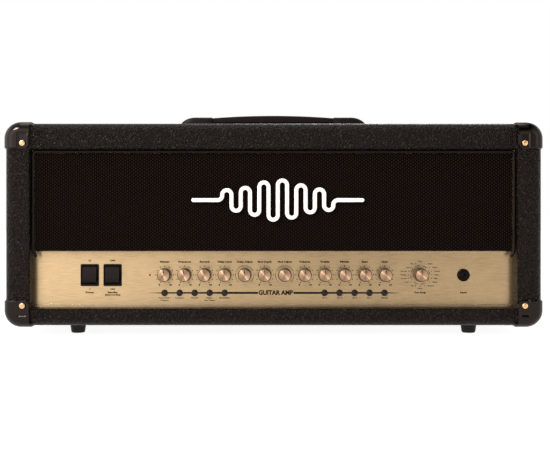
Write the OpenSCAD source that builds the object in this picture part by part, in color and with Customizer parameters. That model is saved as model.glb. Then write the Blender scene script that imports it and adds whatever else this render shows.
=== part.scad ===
// Guitar amplifier head: a vinyl-covered plywood cabinet round a steel chassis with valves, transformers,
// a gold control panel, knobs, push buttons, rocker switches and a strap handle.
// Millimetres. X runs to the right seen from the front, the front faces -Y, and Z = 0 is under the feet.

/* [Cabinet] */
// Width over the vinyl covering
cab_w = 753; // [748:1:760]
// Height of the cabinet without feet
cab_h = 284; // [280:1:292]
// Depth over the vinyl covering
cab_d = 210; // [208:1:225]
// Thickness of the plywood boards
board_t = 18; // [17.5:0.1:18.5]
// Thickness of the vinyl covering
vinyl_t = 1; // [0.8:0.1:1.2]
// Radius of the four long edges, as seen from the front
corner_r = 21.5; // [17:0.5:22]
// Radius of the front and rear edges
edge_r = 12; // [10:0.5:14]
// Height of the rubber feet
foot_h = 14.3; // [13.5:0.1:20]

/* [Front opening] */
// Border left and right of the front opening
border_side = 35.5; // [33:0.5:37]
// Border above the front opening
border_top = 36.9; // [34:0.1:40]
// Border below the front opening
border_bottom = 24.4; // [23.5:0.1:26]
// How far the control panel sits behind the front
panel_recess = 24; // [23:0.5:26]
// How far the grille cloth sits behind the front
grille_recess = 9; // [8:0.5:10]
// Height of the control panel's visible strip
strip_h = 80.2; // [78:0.2:82]

/* [Controls] */
// Spacing of the twelve control knobs
knob_pitch = 28.46; // [28:0.02:29]
// Radius of a knob at its base
knob_r = 10; // [9:0.1:11]
// Height of a knob from its base to its metal cap
knob_h = 16.2; // [14:0.2:17]
// Spacing of the push buttons
button_pitch = 21.34; // [20:0.02:22]
// Radius of a push button
button_r = 4.6; // [4.2:0.1:4.8]
// How far a push button stands out of the panel
button_out = 2.6; // [2:0.1:3]

/* [Corner caps] */
// Thickness of the plastic corner caps
cap_t = 2.5; // [2:0.1:3]
// How far a front cap reaches back along the cabinet
cap_back = 46; // [40:1:55]

/* [Handle] */
// Overall length of the handle
handle_l = 283; // [275:1:290]
// Length of each handle end cap
handle_cap_l = 51; // [48:1:54]
// Height of each handle end cap
handle_cap_h = 18.2; // [18.1:0.1:20]
// Height of the strap's top at the middle
strap_rise = 20.7; // [20:0.1:21]
// Height of the strap's flat underside
strap_under = 9.5; // [8.5:0.1:10.5]

/* [Sockets] */
// Radius of the hole that takes a quarter-inch plug
plug_r = 3.25; // [3.2:0.01:3.4]

/* [Hidden] */
$fn = 64;

far = 900;        // longer than anything in the model, for cutting slabs
lap = 0.01;       // overlap that keeps a cut from leaving a skin
fit = 0.02;       // gap between two pieces that are pressed or screwed together

// Cabinet
y_front = -cab_d / 2;
y_back = cab_d / 2;
z_bot = foot_h;
z_top = foot_h + cab_h;
z_mid = foot_h + cab_h / 2;
in_x = cab_w / 2 - vinyl_t - board_t;
in_z0 = z_bot + vinyl_t + board_t;
in_z1 = z_top - vinyl_t - board_t;
open_x = cab_w / 2 - border_side;
open_z0 = z_bot + border_bottom;
open_z1 = z_top - border_top;
batten_d = 18;
rear_strip = 16;
glue = 0.1;       // glue line between two battens
foot_x = 283;
foot_y = 55;
foot_r = 11.5;
foot_shoulder = 9;

// Grille
grille_y = y_front + grille_recess;
grille_z0 = open_z0 + strip_h;
cloth_t = 2.3;
cloth_in = 4.9;   // the cloth's edge inside the opening, which leaves room for the piping
board_in = 0.7;
piping_r = 2.2;
piping_in = 2.5;
piping_bend = 5;
piping_tail = 7;

// Chassis and control panel
panel_y = y_front + panel_recess;
sheet_t = 1.5;
wall_y = panel_y + sheet_t;           // the chassis's front face
chassis_x = 349;
chassis_y1 = y_back - 20;
chassis_z0 = in_z0;
chassis_z1 = grille_z0 + 0.5;
deck_z = chassis_z1;                  // top of the chassis, where valves and transformers stand
flange_w = 18;
bolt_x = 339;
bolt_y = 50;
bolt_r = 2.5;

// Control panel layout
knob_z = open_z0 + 46;
knob_x0 = -154.8;
selector_x = 208.7;
knob_xs = [for (i = [0:11]) knob_x0 + i * knob_pitch];
button_z = open_z0 + 20.3;
left_button_x = -154.8;
right_button_x = 72.7;
rocker_z = knob_z - 0.3;
power_rocker_x = -261.3;
standby_rocker_x = -228.8;
led_x = -176;
led_r = 1.5;
jack_x = 270.3;
jack_z = knob_z - 0.4;

// Knobs and potentiometers
shaft_r = 3;
shaft_play = 0.05;
bush_r = 3.5;
bush_out = 3.2;
nut_r = 5.8;
nut_t = 2;
pot_r = 8;
pot_d = 9;
knob_gap = 0.8;
knob_top_r = knob_r - 1;
knob_disc_r = 8.3;
knob_disc_t = 0.8;
skirt_recess_r = 7.2;
skirt_recess_h = 3.6;
shaft_grip = 11;

// Push buttons
button_play = 0.1;
button_body_d = 6;
stem_r = 1.5;
stem_end = 10.4;
switch_w = 10;
switch_front = 7.4;
switch_d = 8;

// Rocker switches
bezel_w = 25.9;
bezel_h = 31.3;
bezel_t = 2;
housing_w = 23.4;
housing_h = 28.4;
housing_d = 25;
paddle_w = 20;
paddle_r = 12.5;
paddle_face = 5;
rocker_play = 0.25;
rocker_tilt = 8;
rocker_pin_r = 1.5;
rocker_pin_l = 1.2;
pivot_in = 1;     // how far the rocker's pivot lies behind the panel's face

// Sockets
jack_bush_r = 4.7;
jack_bush_out = 5;
jack_body_w = 21;
jack_body_d = 28;
jack_depth = 34;
jack_nut_r = 9;
jack_nut_t = 4.4;
rear_plate_t = 1;
rear_y = chassis_y1 + rear_plate_t;   // outside face of the rear connector plate
rear_z = (chassis_z0 + chassis_z1) / 2;
speaker_xs = [for (i = [0:4]) -150 + i * 30];
signal_xs = [for (i = [0:5]) 20 + i * 30];
din_xs = [for (i = [0:2]) 215 + i * 35];
din_r = 8.9;
inlet_x = -290;
inlet_w = 24;
inlet_h = 16.4;
fuse_xs = [-235, -205];
fuse_r = 6.5;

// Rear
rear_board_t = 9;
rear_board_y = y_back - vinyl_t - rear_board_t;
rear_board_z0 = chassis_z1 + 2;
rear_gap = 0.8;
window_x = 230;
window_z0 = rear_board_z0 + 36;
window_z1 = in_z1 - 26;
mesh_t = 1.2;
mesh_lap = 10;

// Screws
screw_r = 1.9;
screw_head_r = 3.9;
screw_head_h = 2.4;
screw_pocket = 1.5;
wood_r = 2.2;
wood_head_r = 4;

// Handle
handle_w = 36;
strap_w = 30;
strap_end = 128;
strap_end_z = 13.5;
grip_x = 45;
strap_split = 0.2;
cap_roof = 0.8;    // end cap over the strap
// radius of the strap's bow, from its height at the middle and near its ends
strap_bow = (pow(strap_end, 2) + pow(strap_rise - strap_end_z, 2)) / (2 * (strap_rise - strap_end_z));

// Circuit boards
board_copper_t = 1.6;
spacer_h = 14;
under_board_z = chassis_z1 - sheet_t - spacer_h - board_copper_t;
chip_w = 26;
chip_h = 3;

// Valves
valve_xs = [for (i = [0:3]) 20 + i * 58];
valve_y = 20;
valve_r = 16;
valve_base_r = 16.5;
valve_base_h = 15;
valve_h = 70;
glass_t = 1.2;
preamp_x = 250;
preamp_r = 11;
preamp_h = 38;
socket_r = 13.9;
socket_flange_r = 19;
socket_flange_t = 2;

// Badge: a vibrating-string line, one bent stroke
badge_stroke = 5.6;
badge_r = 6.5;
badge_steps = 12;
badge_turns = 12;
badge_lead = 34;
badge_t = 5;
badge_x = 6;
badge_z = 190.5;
badge_low = 7;
badge_swing = 14.5;

// ---------- shared shapes ----------

module rounded_rect(w, h, r) {
    square([w - 2 * r, h], center = true);
    square([w, h - 2 * r], center = true);
    for (x = [-1, 1], y = [-1, 1]) translate([x * (w / 2 - r), y * (h / 2 - r)]) circle(r);
}

// the cabinet's outer form, grown by e on every side
module cabinet_form(e) {
    translate([0, 0, z_mid]) intersection() {
        rotate([90, 0, 0]) linear_extrude(cab_d + 20, center = true)
            rounded_rect(cab_w + 2 * e, cab_h + 2 * e, corner_r + e);
        linear_extrude(cab_h + 20, center = true)
            rounded_rect(cab_w + 2 * e, cab_d + 2 * e, edge_r + e);
        rotate([0, 90, 0]) linear_extrude(cab_w + 20, center = true)
            rounded_rect(cab_h + 2 * e, cab_d + 2 * e, edge_r + e);
    }
}

// a box from its lowest to its highest corner
module box(low, high) translate(low) cube(high - low);

// local +Z points out of the control panel towards the player, local +Y points up
module on_panel(x, z) translate([x, panel_y, z]) rotate([90, 0, 0]) children();

// local +Z points out of the rear plate, local +Y points up
module on_rear(x, z) translate([x, rear_y, z]) rotate([90, 0, 180]) children();

module both_sides() {
    children();
    mirror([1, 0, 0]) children();
}

module top_and_bottom() {
    children();
    translate([0, 0, 2 * z_mid]) mirror([0, 0, 1]) children();
}

// ---------- screws: places, and the shanks that are cut out of what they hold ----------

cap_screw_x = open_x + 10;
cap_screw_z = open_z1 + 8.6;
rear_cap_x = cab_w / 2 - 10.5;
rear_cap_z = z_top - 10.5;
side_screw_y = y_front + 32;
cap_face = cap_t - screw_pocket;

module screw(r, length, head_r, head_h) {
    translate([0, 0, -length]) cylinder(length, r = r);
    difference() {
        cylinder(head_h, r = head_r);
        for (a = [0, 90]) rotate([0, 0, a])
            translate([0, 0, head_h]) cube([head_r * 1.1, 1.1, 2], center = true);
    }
}

module shank(r, length) translate([0, 0, -length]) cylinder(length + 10, r = r);

// one child at each screw of one corner's front and rear cap, with local +Z out of the cabinet
module at_corner_screws() {
    translate([cap_screw_x, y_front - cap_face, cap_screw_z]) rotate([90, 0, 0]) children();
    translate([cab_w / 2 + cap_face, side_screw_y, cap_screw_z]) rotate([0, 90, 0]) children();
    translate([rear_cap_x, y_back + cap_face, rear_cap_z]) rotate([-90, 0, 0]) children();
    translate([cab_w / 2 + cap_face, -side_screw_y, cap_screw_z]) rotate([0, 90, 0]) children();
}

module at_cap_screws() both_sides() top_and_bottom() at_corner_screws() children();

module at_feet() for (x = [-1, 1], y = [-1, 1]) translate([x * foot_x, y * foot_y, 0]) children();

module at_handle_screws() both_sides() translate([handle_l / 2 - 7.5, 0, z_top + 8]) children();

rear_screws = [[in_x - 8, rear_board_z0 + 20], [in_x - 8, (rear_board_z0 + in_z1) / 2],
    [in_x - 8, in_z1 - 25], [120, in_z1 - 8]];

module at_rear_screws() both_sides() for (p = rear_screws)
    translate([p[0], y_back - vinyl_t, p[1]]) rotate([-90, 0, 0]) children();

module at_bolts() for (x = [-1, 1], y = [-1, 1]) translate([x * bolt_x, y * bolt_y, z_bot]) children();

module cap_shanks() at_cap_screws() shank(screw_r, 18);
module foot_shanks() at_feet() translate([0, 0, foot_shoulder]) rotate([180, 0, 0]) shank(wood_r, 24);
module handle_shanks() at_handle_screws() shank(wood_r, 25);
module rear_shanks() at_rear_screws() shank(wood_r, 22);
module bolt_shanks() at_bolts() translate([0, 0, -1]) cylinder(40, r = bolt_r);

// ---------- cabinet ----------

module cabinet_top_board() color("burlywood") difference() {
    intersection() {
        cabinet_form(-vinyl_t);
        box([-far, -far, in_z1], [far, far, far]);
    }
    cap_shanks();
    handle_shanks();
}

module cabinet_bottom_board() color("burlywood") difference() {
    intersection() {
        cabinet_form(-vinyl_t);
        box([-far, -far, 0], [far, far, in_z0]);
    }
    cap_shanks();
    foot_shanks();
    bolt_shanks();
}

module cabinet_sides() color("burlywood") both_sides() difference() {
    intersection() {
        cabinet_form(-vinyl_t);
        box([in_x, -far, in_z0], [far, far, in_z1]);
    }
    cap_shanks();
}

module cabinet_battens() color("tan") {
    y0 = y_front + vinyl_t;
    y1 = y_front + batten_d;
    lined_x = open_x + vinyl_t;
    both_sides() difference() {
        box([lined_x, y0, in_z0], [in_x, y1, in_z1]);
        cap_shanks();
    }
    box([-lined_x + glue, y0, open_z1 + vinyl_t], [lined_x - glue, y1, in_z1]);
    box([-lined_x + glue, y0, in_z0], [lined_x - glue, y1, open_z0 - vinyl_t]);
    // strips that the rear board is screwed to
    both_sides() difference() {
        box([in_x - rear_strip, rear_board_y - rear_strip, rear_board_z0], [in_x, rear_board_y, in_z1]);
        rear_shanks();
    }
    difference() {
        box([-in_x + rear_strip + glue, rear_board_y - rear_strip, in_z1 - rear_strip],
            [in_x - rear_strip - glue, rear_board_y, in_z1]);
        rear_shanks();
    }
}

module vinyl_covering() color([0.11, 0.1, 0.1]) difference() {
    cabinet_form(0);
    difference() {
        cabinet_form(-vinyl_t);
        box([-open_x - vinyl_t, -far, open_z0 - vinyl_t],
            [open_x + vinyl_t, y_front + batten_d, open_z1 + vinyl_t]);
    }
    box([-open_x, -far, open_z0], [open_x, y_front + batten_d + lap, open_z1]);
    box([-in_x, y_back - vinyl_t - lap, in_z0], [in_x, far, in_z1]);
    cap_shanks();
    foot_shanks();
    handle_shanks();
    bolt_shanks();
}

// ---------- grille ----------

module grille_board() color("tan")
    box([-open_x + board_in, grille_y + cloth_t, grille_z0 + board_in],
        [open_x - board_in, panel_y - 1.5, open_z1 - board_in]);

module grille_cloth() color([0.1, 0.09, 0.1])
    box([-open_x + cloth_in, grille_y, grille_z0],
        [open_x - cloth_in, grille_y + cloth_t, open_z1 - cloth_in]);

module grille_piping() color([0.13, 0.12, 0.12]) {
    y = grille_y + cloth_t - piping_r;
    x = open_x - piping_in;
    z = open_z1 - piping_in;
    translate([-x + piping_bend, y, z]) rotate([0, 90, 0]) cylinder(2 * (x - piping_bend), r = piping_r);
    both_sides() {
        translate([x, y, grille_z0 - piping_tail])
            cylinder(z - piping_bend - grille_z0 + piping_tail, r = piping_r);
        translate([x - piping_bend, y, z - piping_bend]) rotate([90, 0, 0])
            rotate_extrude(angle = 90) translate([piping_bend, 0]) circle(piping_r);
    }
}

// level of the badge's turn k above its middle line, largest at the centre of the badge
function badge_level(k) = (k % 2 == 0 ? 1 : -1)
    * (badge_low + badge_swing * exp(-pow((k - (badge_turns - 1) / 2) / 3, 2)));

// points along an arc of the badge's line, each with the direction of the stroke's left side
function badge_arc(centre, from, to, side) = [for (i = [0:badge_steps])
    let (a = from + (to - from) * i / badge_steps, d = [cos(a), sin(a)])
    [centre + badge_r * d, side * d]];

function badge_cap(centre, from) = [for (i = [1:badge_steps - 1])
    let (a = from - 180 * i / badge_steps) centre + badge_stroke / 2 * [cos(a), sin(a)]];

module front_badge() color([0.9, 0.89, 0.86]) {
    x0 = -badge_turns * badge_r;
    first = sign(badge_level(0));
    last = sign(badge_level(badge_turns - 1));
    line = [
        each badge_arc([x0 - badge_r, first * badge_r], -90 * first, 0, -first),
        for (k = [0:badge_turns - 1]) let (up = sign(badge_level(k)))
            each badge_arc([x0 + (2 * k + 1) * badge_r, badge_level(k)], 180, 180 - 180 * up, up),
        each badge_arc([-x0 + badge_r, last * badge_r], 180, 180 + 90 * last, -last)
    ];
    left = [for (p = line) p[0] + badge_stroke / 2 * p[1]];
    right = [for (i = [len(line) - 1:-1:0]) line[i][0] - badge_stroke / 2 * line[i][1]];
    lead_end = [-x0 + badge_r + badge_lead, 0];
    half = [0, badge_stroke / 2];
    translate([badge_x, grille_y, badge_z]) rotate([90, 0, 0]) linear_extrude(badge_t) polygon(concat(
        [-lead_end + half], left, [lead_end + half], badge_cap(lead_end, 90),
        [lead_end - half], right, [-lead_end - half], badge_cap(-lead_end, 270)));
}

// ---------- corner caps, feet and screws ----------

module cap_shell() difference() {
    cabinet_form(cap_t);
    cabinet_form(0);
}

module front_cap() difference() {
    intersection() {
        cap_shell();
        box([open_x + 0.5, -far, open_z1 + 0.6], [far, y_front + cap_back, far]);
    }
    translate([open_x, 0, open_z1 + 0.6]) rotate([0, 45, 0]) cube([9, far, 9], center = true);
    translate([0, y_front + cap_back, open_z1 + 0.6]) rotate([45, 0, 0])
        cube([far * 2, 12, 12], center = true);
    translate([open_x + 0.5, y_front + cap_back, 0]) rotate([0, 0, 45])
        cube([12, 12, far * 2], center = true);
}

// the rear cap's side wing reaches further down than its rear face
module rear_cap() difference() {
    intersection() {
        cap_shell();
        union() {
            box([in_x + 1, y_back - cap_back, in_z1 + 1], [far, far, far]);
            box([in_x + 1, y_back - cap_back, open_z1 + 0.6], [far, y_back - edge_r, in_z1 + 2]);
        }
    }
    translate([0, y_back - cap_back, open_z1 + 0.6]) rotate([45, 0, 0])
        cube([far * 2, 12, 12], center = true);
}

module corner_caps() color([0.05, 0.05, 0.05]) both_sides() top_and_bottom() difference() {
    union() {
        front_cap();
        rear_cap();
    }
    at_corner_screws() {
        shank(screw_r, 18);
        cylinder(10, r = screw_head_r + 0.6);
    }
}

module corner_cap_screws() color([0.78, 0.6, 0.35])
    at_cap_screws() screw(screw_r, 15, screw_head_r, screw_head_h);

module feet() color([0.08, 0.08, 0.08]) at_feet() rotate_extrude()
    polygon([[wood_r, foot_h], [foot_r, foot_h], [9.9, 1.8], [8.1, 0], [5, 0],
        [5, foot_shoulder], [wood_r, foot_shoulder]]);

module cabinet_screws() color([0.2, 0.2, 0.2]) {
    at_feet() translate([0, 0, foot_shoulder]) rotate([180, 0, 0]) screw(wood_r, 24, wood_head_r, 2.6);
    at_handle_screws() screw(wood_r, 22, wood_head_r, 2.6);
    at_rear_screws() screw(wood_r, 20, wood_head_r, 2.2);
}

// ---------- handle ----------

// the strap between two distances from the middle: bowed above and flat below
module strap_band(from, to) translate([0, 0, z_top + strap_rise - strap_bow])
    rotate([90, 0, 0]) linear_extrude(strap_w, center = true) intersection() {
        circle(strap_bow, $fn = 720);
        translate([from, strap_bow - strap_rise + strap_under]) square([to - from, strap_rise]);
    }

module handle_grip() color([0.07, 0.07, 0.07]) strap_band(-grip_x + strap_split, grip_x - strap_split);

module handle_strap() color([0.08, 0.08, 0.08]) both_sides() strap_band(grip_x, strap_end);

module rounded_end(length, width, r) {
    square([length - r, width]);
    square([length, width - r]);
    translate([length - r, width - r]) circle(r);
}

module handle_end_caps() color([0.06, 0.06, 0.06]) both_sides()
    translate([handle_l / 2 - handle_cap_l, 0, z_top]) difference() {
        intersection() {
            rotate([90, 0, 0]) linear_extrude(handle_w + 2, center = true)
                rounded_end(handle_cap_l, handle_cap_h, 16);
            linear_extrude(handle_cap_h + 1) {
                rounded_end(handle_cap_l, handle_w / 2, 13);
                mirror([0, 1]) rounded_end(handle_cap_l, handle_w / 2, 13);
            }
        }
        box([-1, -strap_w / 2 - 0.6, 2.5], [handle_cap_l - 13, strap_w / 2 + 0.6, handle_cap_h - cap_roof]);
        translate([handle_cap_l - 7.5, 0, -1]) cylinder(far, r = wood_r);
        translate([handle_cap_l - 7.5, 0, 8]) cylinder(far, r = wood_head_r + 0.3);
    }

// ---------- chassis ----------

module rocker_cutouts(grow) for (x = [power_rocker_x, standby_rocker_x])
    on_panel(x, rocker_z) cube([housing_w + grow, housing_h + grow, 20], center = true);

// holes shared by the control panel and the chassis behind it
module front_holes() {
    for (x = concat(knob_xs, [selector_x])) on_panel(x, knob_z) cylinder(20, r = bush_r + 0.1, center = true);
    for (i = [0:4], x = [left_button_x, right_button_x])
        on_panel(x + i * button_pitch, button_z) cylinder(20, r = button_r + button_play, center = true);
    rocker_cutouts(0.2);
    on_panel(led_x, knob_z) cylinder(20, r = led_r + 0.05, center = true);
    on_panel(jack_x, jack_z) cylinder(20, r = jack_bush_r + 0.1, center = true);
}

module rear_holes() {
    for (x = concat(speaker_xs, signal_xs))
        on_rear(x, rear_z) cylinder(20, r = jack_bush_r + 0.1, center = true);
    for (x = din_xs) on_rear(x, rear_z) cylinder(20, r = din_r + 0.1, center = true);
    for (x = fuse_xs) on_rear(x, rear_z) cylinder(20, r = fuse_r + 0.1, center = true);
    on_rear(inlet_x, rear_z) cube([28.4, 20.8, 20], center = true);
}

module chassis() color([0.62, 0.63, 0.65]) difference() {
    union() {
        difference() {
            box([-chassis_x, wall_y, chassis_z0], [chassis_x, chassis_y1, chassis_z1]);
            box([-chassis_x + sheet_t, wall_y + sheet_t, 0],
                [chassis_x - sheet_t, chassis_y1 - sheet_t, chassis_z1 - sheet_t]);
        }
        both_sides() box([chassis_x - flange_w, wall_y + lap, chassis_z0],
            [chassis_x - lap, chassis_y1 - lap, chassis_z0 + sheet_t]);
    }
    front_holes();
    rear_holes();
    bolt_shanks();
    for (x = valve_xs) translate([x, valve_y, deck_z]) cylinder(10, r = socket_r + 0.1, center = true);
    translate([preamp_x, valve_y, deck_z]) cylinder(10, r = 10.1, center = true);
}

module chassis_bolts() color([0.7, 0.7, 0.72]) at_bolts() {
    translate([0, 0, -1.2]) difference() {
        cylinder(1.2, r = 6);
        translate([0, 0, -1]) cylinder(4, r = bolt_r + fit);
    }
    translate([0, 0, -4.4]) cylinder(3.2 - fit, r = 4.6);
    translate([0, 0, -1.2 - fit - lap]) cylinder(29, r = bolt_r);
    translate([0, 0, in_z0 - z_bot + sheet_t]) difference() {
        cylinder(4, r = 4.6, $fn = 6);
        translate([0, 0, -1]) cylinder(6, r = bolt_r + fit);
    }
}

module control_panel() color([0.78, 0.65, 0.45]) difference() {
    box([-chassis_x, panel_y, chassis_z0 + 0.6], [chassis_x, wall_y, chassis_z1 - 0.4]);
    front_holes();
}

module pot(body_r) {
    difference() {
        union() {
            translate([0, 0, -2 * sheet_t - pot_d]) cylinder(pot_d, r = body_r);
            translate([0, 0, -2 * sheet_t - lap]) cylinder(bush_out + 2 * sheet_t + lap, r = bush_r);
        }
        translate([0, 0, -2 * sheet_t - pot_d + 2]) cylinder(far, r = shaft_r + shaft_play);
    }
    difference() {
        cylinder(nut_t, r = nut_r, $fn = 6);
        translate([0, 0, -1]) cylinder(nut_t + 2, r = bush_r + fit);
    }
}

module control_pots() color([0.6, 0.6, 0.58]) {
    for (x = knob_xs) on_panel(x, knob_z) pot(pot_r);
    on_panel(selector_x, knob_z) pot(12);
}

module knob(x) color([0.12, 0.11, 0.1]) on_panel(x, knob_z) {
    difference() {
        translate([0, 0, knob_gap]) cylinder(knob_h, r1 = knob_r, r2 = knob_top_r);
        translate([0, 0, knob_gap - 1]) cylinder(skirt_recess_h + 1, r = skirt_recess_r);
        translate([0, 0, knob_gap]) cylinder(shaft_grip + fit, r = shaft_r + fit);
        translate([0, 0, knob_gap + knob_h - knob_disc_t]) cylinder(2, r = knob_disc_r + fit);
    }
    translate([0, 0, knob_gap + knob_h - knob_disc_t + fit]) difference() {
        cylinder(knob_disc_t + 0.2, r = knob_disc_r);
        translate([-0.5, 2.5, knob_disc_t - 0.2]) cube([1, 5.5, 1]);
    }
    translate([0, 0, -2 * sheet_t - pot_d + 3])
        cylinder(knob_gap + shaft_grip + 2 * sheet_t + pot_d - 3, r = shaft_r);
}

module button(x) color([0.08, 0.08, 0.08]) on_panel(x, button_z) {
    difference() {
        translate([0, 0, button_out - button_body_d]) cylinder(button_body_d, r = button_r);
        translate([0, 0, button_out - 0.5]) cylinder(1, r = 3);
    }
    translate([0, 0, -stem_end]) cylinder(stem_end + button_out - button_body_d + lap, r = stem_r);
}

module push_switches() color([0.25, 0.25, 0.27])
    for (i = [0:4], x = [left_button_x, right_button_x]) on_panel(x + i * button_pitch, button_z) difference() {
        translate([-switch_w / 2, -switch_w / 2, -switch_front - switch_d]) cube([switch_w, switch_w, switch_d]);
        translate([0, 0, -stem_end - 2]) cylinder(far, r = stem_r + 0.1);
    }

module rocker_housings() color([0.05, 0.05, 0.05])
    for (x = [power_rocker_x, standby_rocker_x]) on_panel(x, rocker_z) difference() {
        union() {
            linear_extrude(bezel_t) rounded_rect(bezel_w, bezel_h, 1.5);
            translate([-housing_w / 2, -housing_h / 2, -housing_d]) cube([housing_w, housing_h, housing_d + lap]);
        }
        translate([-paddle_w / 2 - rocker_play, -paddle_r - rocker_play, -pivot_in - paddle_r - 1])
            cube([paddle_w + 2 * rocker_play, 2 * (paddle_r + rocker_play), far]);
        translate([0, 0, -pivot_in]) rotate([0, 90, 0])
            cylinder(paddle_w + 2 * rocker_pin_l + 0.4, r = rocker_pin_r + 0.06, center = true);
    }

module rocker(x) color([0.14, 0.12, 0.12]) on_panel(x, rocker_z) translate([0, 0, -pivot_in])
    rotate([-rocker_tilt, 0, 0]) rotate([0, 90, 0]) {
        linear_extrude(paddle_w, center = true) intersection() {
            circle(paddle_r);
            square([2 * paddle_face, 2 * paddle_r], center = true);
        }
        cylinder(paddle_w + 2 * rocker_pin_l, r = rocker_pin_r, center = true);
    }

module power_led() color([0.75, 0.05, 0.03]) on_panel(led_x, knob_z) {
    translate([0, 0, -8]) cylinder(8.6, r = led_r);
    translate([0, 0, 0.6]) intersection() {
        sphere(led_r);
        cylinder(led_r, r = led_r + 1);
    }
    translate([0, 0, -10]) cylinder(4, r = 2.4);
}

// a quarter-inch socket: its body lies behind the sheets, its threaded bush takes a nut in front of them
module quarter_inch_jack(sheets, front, nut_radius, nut_height) {
    difference() {
        union() {
            translate([-jack_body_w / 2, -jack_body_w / 2, -sheets - jack_body_d])
                cube([jack_body_w, jack_body_w, jack_body_d]);
            translate([0, 0, -sheets - lap]) cylinder(sheets + front + lap, r = jack_bush_r);
        }
        translate([0, 0, front - jack_depth]) cylinder(far, r = plug_r);
    }
    difference() {
        cylinder(nut_height, r = nut_radius, $fn = 6);
        translate([0, 0, -1]) cylinder(nut_height + 2, r = jack_bush_r + fit);
    }
}

module input_jack() color([0.07, 0.07, 0.07]) on_panel(jack_x, jack_z)
    quarter_inch_jack(2 * sheet_t, jack_bush_out, jack_nut_r, jack_nut_t);

// ---------- inside ----------

// a board that hangs from the deck on four spacers
module hung_board(x0, x1) {
    y0 = -35;
    y1 = 50;
    z = chassis_z1 - sheet_t - spacer_h;
    box([x0, y0, z - board_copper_t], [x1, y1, z]);
    for (x = [x0 + 8, x1 - 8], y = [y0 + 8, y1 - 8]) translate([x, y, z]) cylinder(spacer_h, r = 3);
}

module circuit_boards() color([0.12, 0.35, 0.18]) {
    // board behind the knobs and push buttons
    y0 = panel_y + switch_front + switch_d;
    box([-200, y0, chassis_z0 + 8], [240, y0 + board_copper_t, chassis_z1 - 10]);
    hung_board(-325, -90);
    hung_board(-75, 320);
    // processor and power chips under the boards
    for (x = [-40, 10, 60, 200])
        box([x, -15, under_board_z - chip_h], [x + chip_w, chip_w - 15, under_board_z]);
}

module reservoir_capacitors() color([0.15, 0.2, 0.35])
    for (i = [0:4]) translate([-300 + i * 40, 8, under_board_z - 46]) cylinder(46, r = 15);

// laminated core with two windows, a winding through them, and feet on the chassis
module transformer(x, width, depth, height) translate([x, 10, deck_z]) {
    limb = width / 6;
    coil = depth / 2 + 14;
    difference() {
        box([-width / 2, -depth / 2, 0], [width / 2, depth / 2, height]);
        both_sides() box([limb, -far, limb], [2 * limb, far, height - limb]);
    }
    difference() {
        box([-2 * limb + fit, -coil, limb + fit], [2 * limb - fit, coil, height - limb - fit]);
        box([-limb - fit, -depth / 2 - fit, 0], [limb + fit, depth / 2 + fit, height]);
    }
}

module mains_transformer() color([0.35, 0.33, 0.32]) transformer(-240, 108, 50, 90);

module output_transformer() color([0.35, 0.33, 0.32]) transformer(-105, 96, 42, 80);

module glass_bulb(r, h) difference() {
    union() {
        cylinder(h, r = r);
        translate([0, 0, h]) sphere(r);
    }
    translate([0, 0, -1]) cylinder(h + 1, r = r - glass_t);
    translate([0, 0, h]) sphere(r - glass_t);
}

valve_seat = deck_z + socket_flange_t;

module valves() color([0.75, 0.8, 0.85]) {
    for (x = valve_xs) translate([x, valve_y, valve_seat + valve_base_h]) glass_bulb(valve_r, valve_h);
    translate([preamp_x, valve_y, valve_seat]) glass_bulb(preamp_r, preamp_h);
}

module socket(r, flange_r) {
    translate([0, 0, deck_z]) cylinder(socket_flange_t, r = flange_r);
    translate([0, 0, deck_z - 11]) cylinder(11 + lap, r = r);
}

module valve_sockets() color([0.2, 0.17, 0.15]) {
    for (x = valve_xs) translate([x, valve_y, 0]) {
        socket(socket_r, socket_flange_r);
        translate([0, 0, valve_seat + fit]) cylinder(valve_base_h - 2 * fit, r = valve_base_r);
        // anode on its support
        translate([0, 0, valve_seat + valve_base_h]) cylinder(12 + lap, r = 3);
        box([-11, -7, valve_seat + valve_base_h + 12], [11, 7, valve_seat + valve_base_h + 62]);
    }
    translate([preamp_x, valve_y, 0]) {
        socket(10, 14);
        box([-6, -3, valve_seat + fit], [6, 3, valve_seat + 36]);
    }
}

// ---------- rear ----------

module rear_connector_plate() color([0.1, 0.1, 0.1]) difference() {
    box([-chassis_x + 2, chassis_y1, chassis_z0 + 1], [chassis_x - 2, rear_y, chassis_z1 - 1]);
    rear_holes();
}

module mains_inlet_and_fuses() color([0.09, 0.09, 0.09]) {
    on_rear(inlet_x, rear_z) {
        difference() {
            union() {
                linear_extrude(2.5) rounded_rect(50, 26, 3);
                translate([-14, -10.2, -22]) cube([28, 20.4, 22 + lap]);
            }
            translate([-inlet_w / 2, -inlet_h / 2, -16]) cube([inlet_w, inlet_h, far]);
        }
        for (p = [[-7, -2], [0, 2], [7, -2]]) translate([p[0] - 1, p[1] - 2, -16 - lap]) cube([2, 4, 14]);
    }
    for (x = fuse_xs) on_rear(x, rear_z) {
        translate([0, 0, -25]) cylinder(25 + lap, r = fuse_r);
        cylinder(2.5, r = 8.5);
        translate([0, 0, 2.5 - lap]) cylinder(7, r = 6);
    }
}

module rear_sockets() color([0.08, 0.08, 0.08]) {
    for (x = concat(speaker_xs, signal_xs)) on_rear(x, rear_z)
        quarter_inch_jack(rear_plate_t + sheet_t, 4.6, 8, 3.4);
    for (x = din_xs) on_rear(x, rear_z) {
        difference() {
            union() {
                translate([0, 0, -16]) cylinder(16 + lap, r = din_r);
                cylinder(1.6, r = 10.6);
            }
            difference() {
                translate([0, 0, -7]) cylinder(20, r = 7.6);
                translate([0, 0, -8]) cylinder(8.5, r = 5.6);
            }
        }
    }
}

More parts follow.
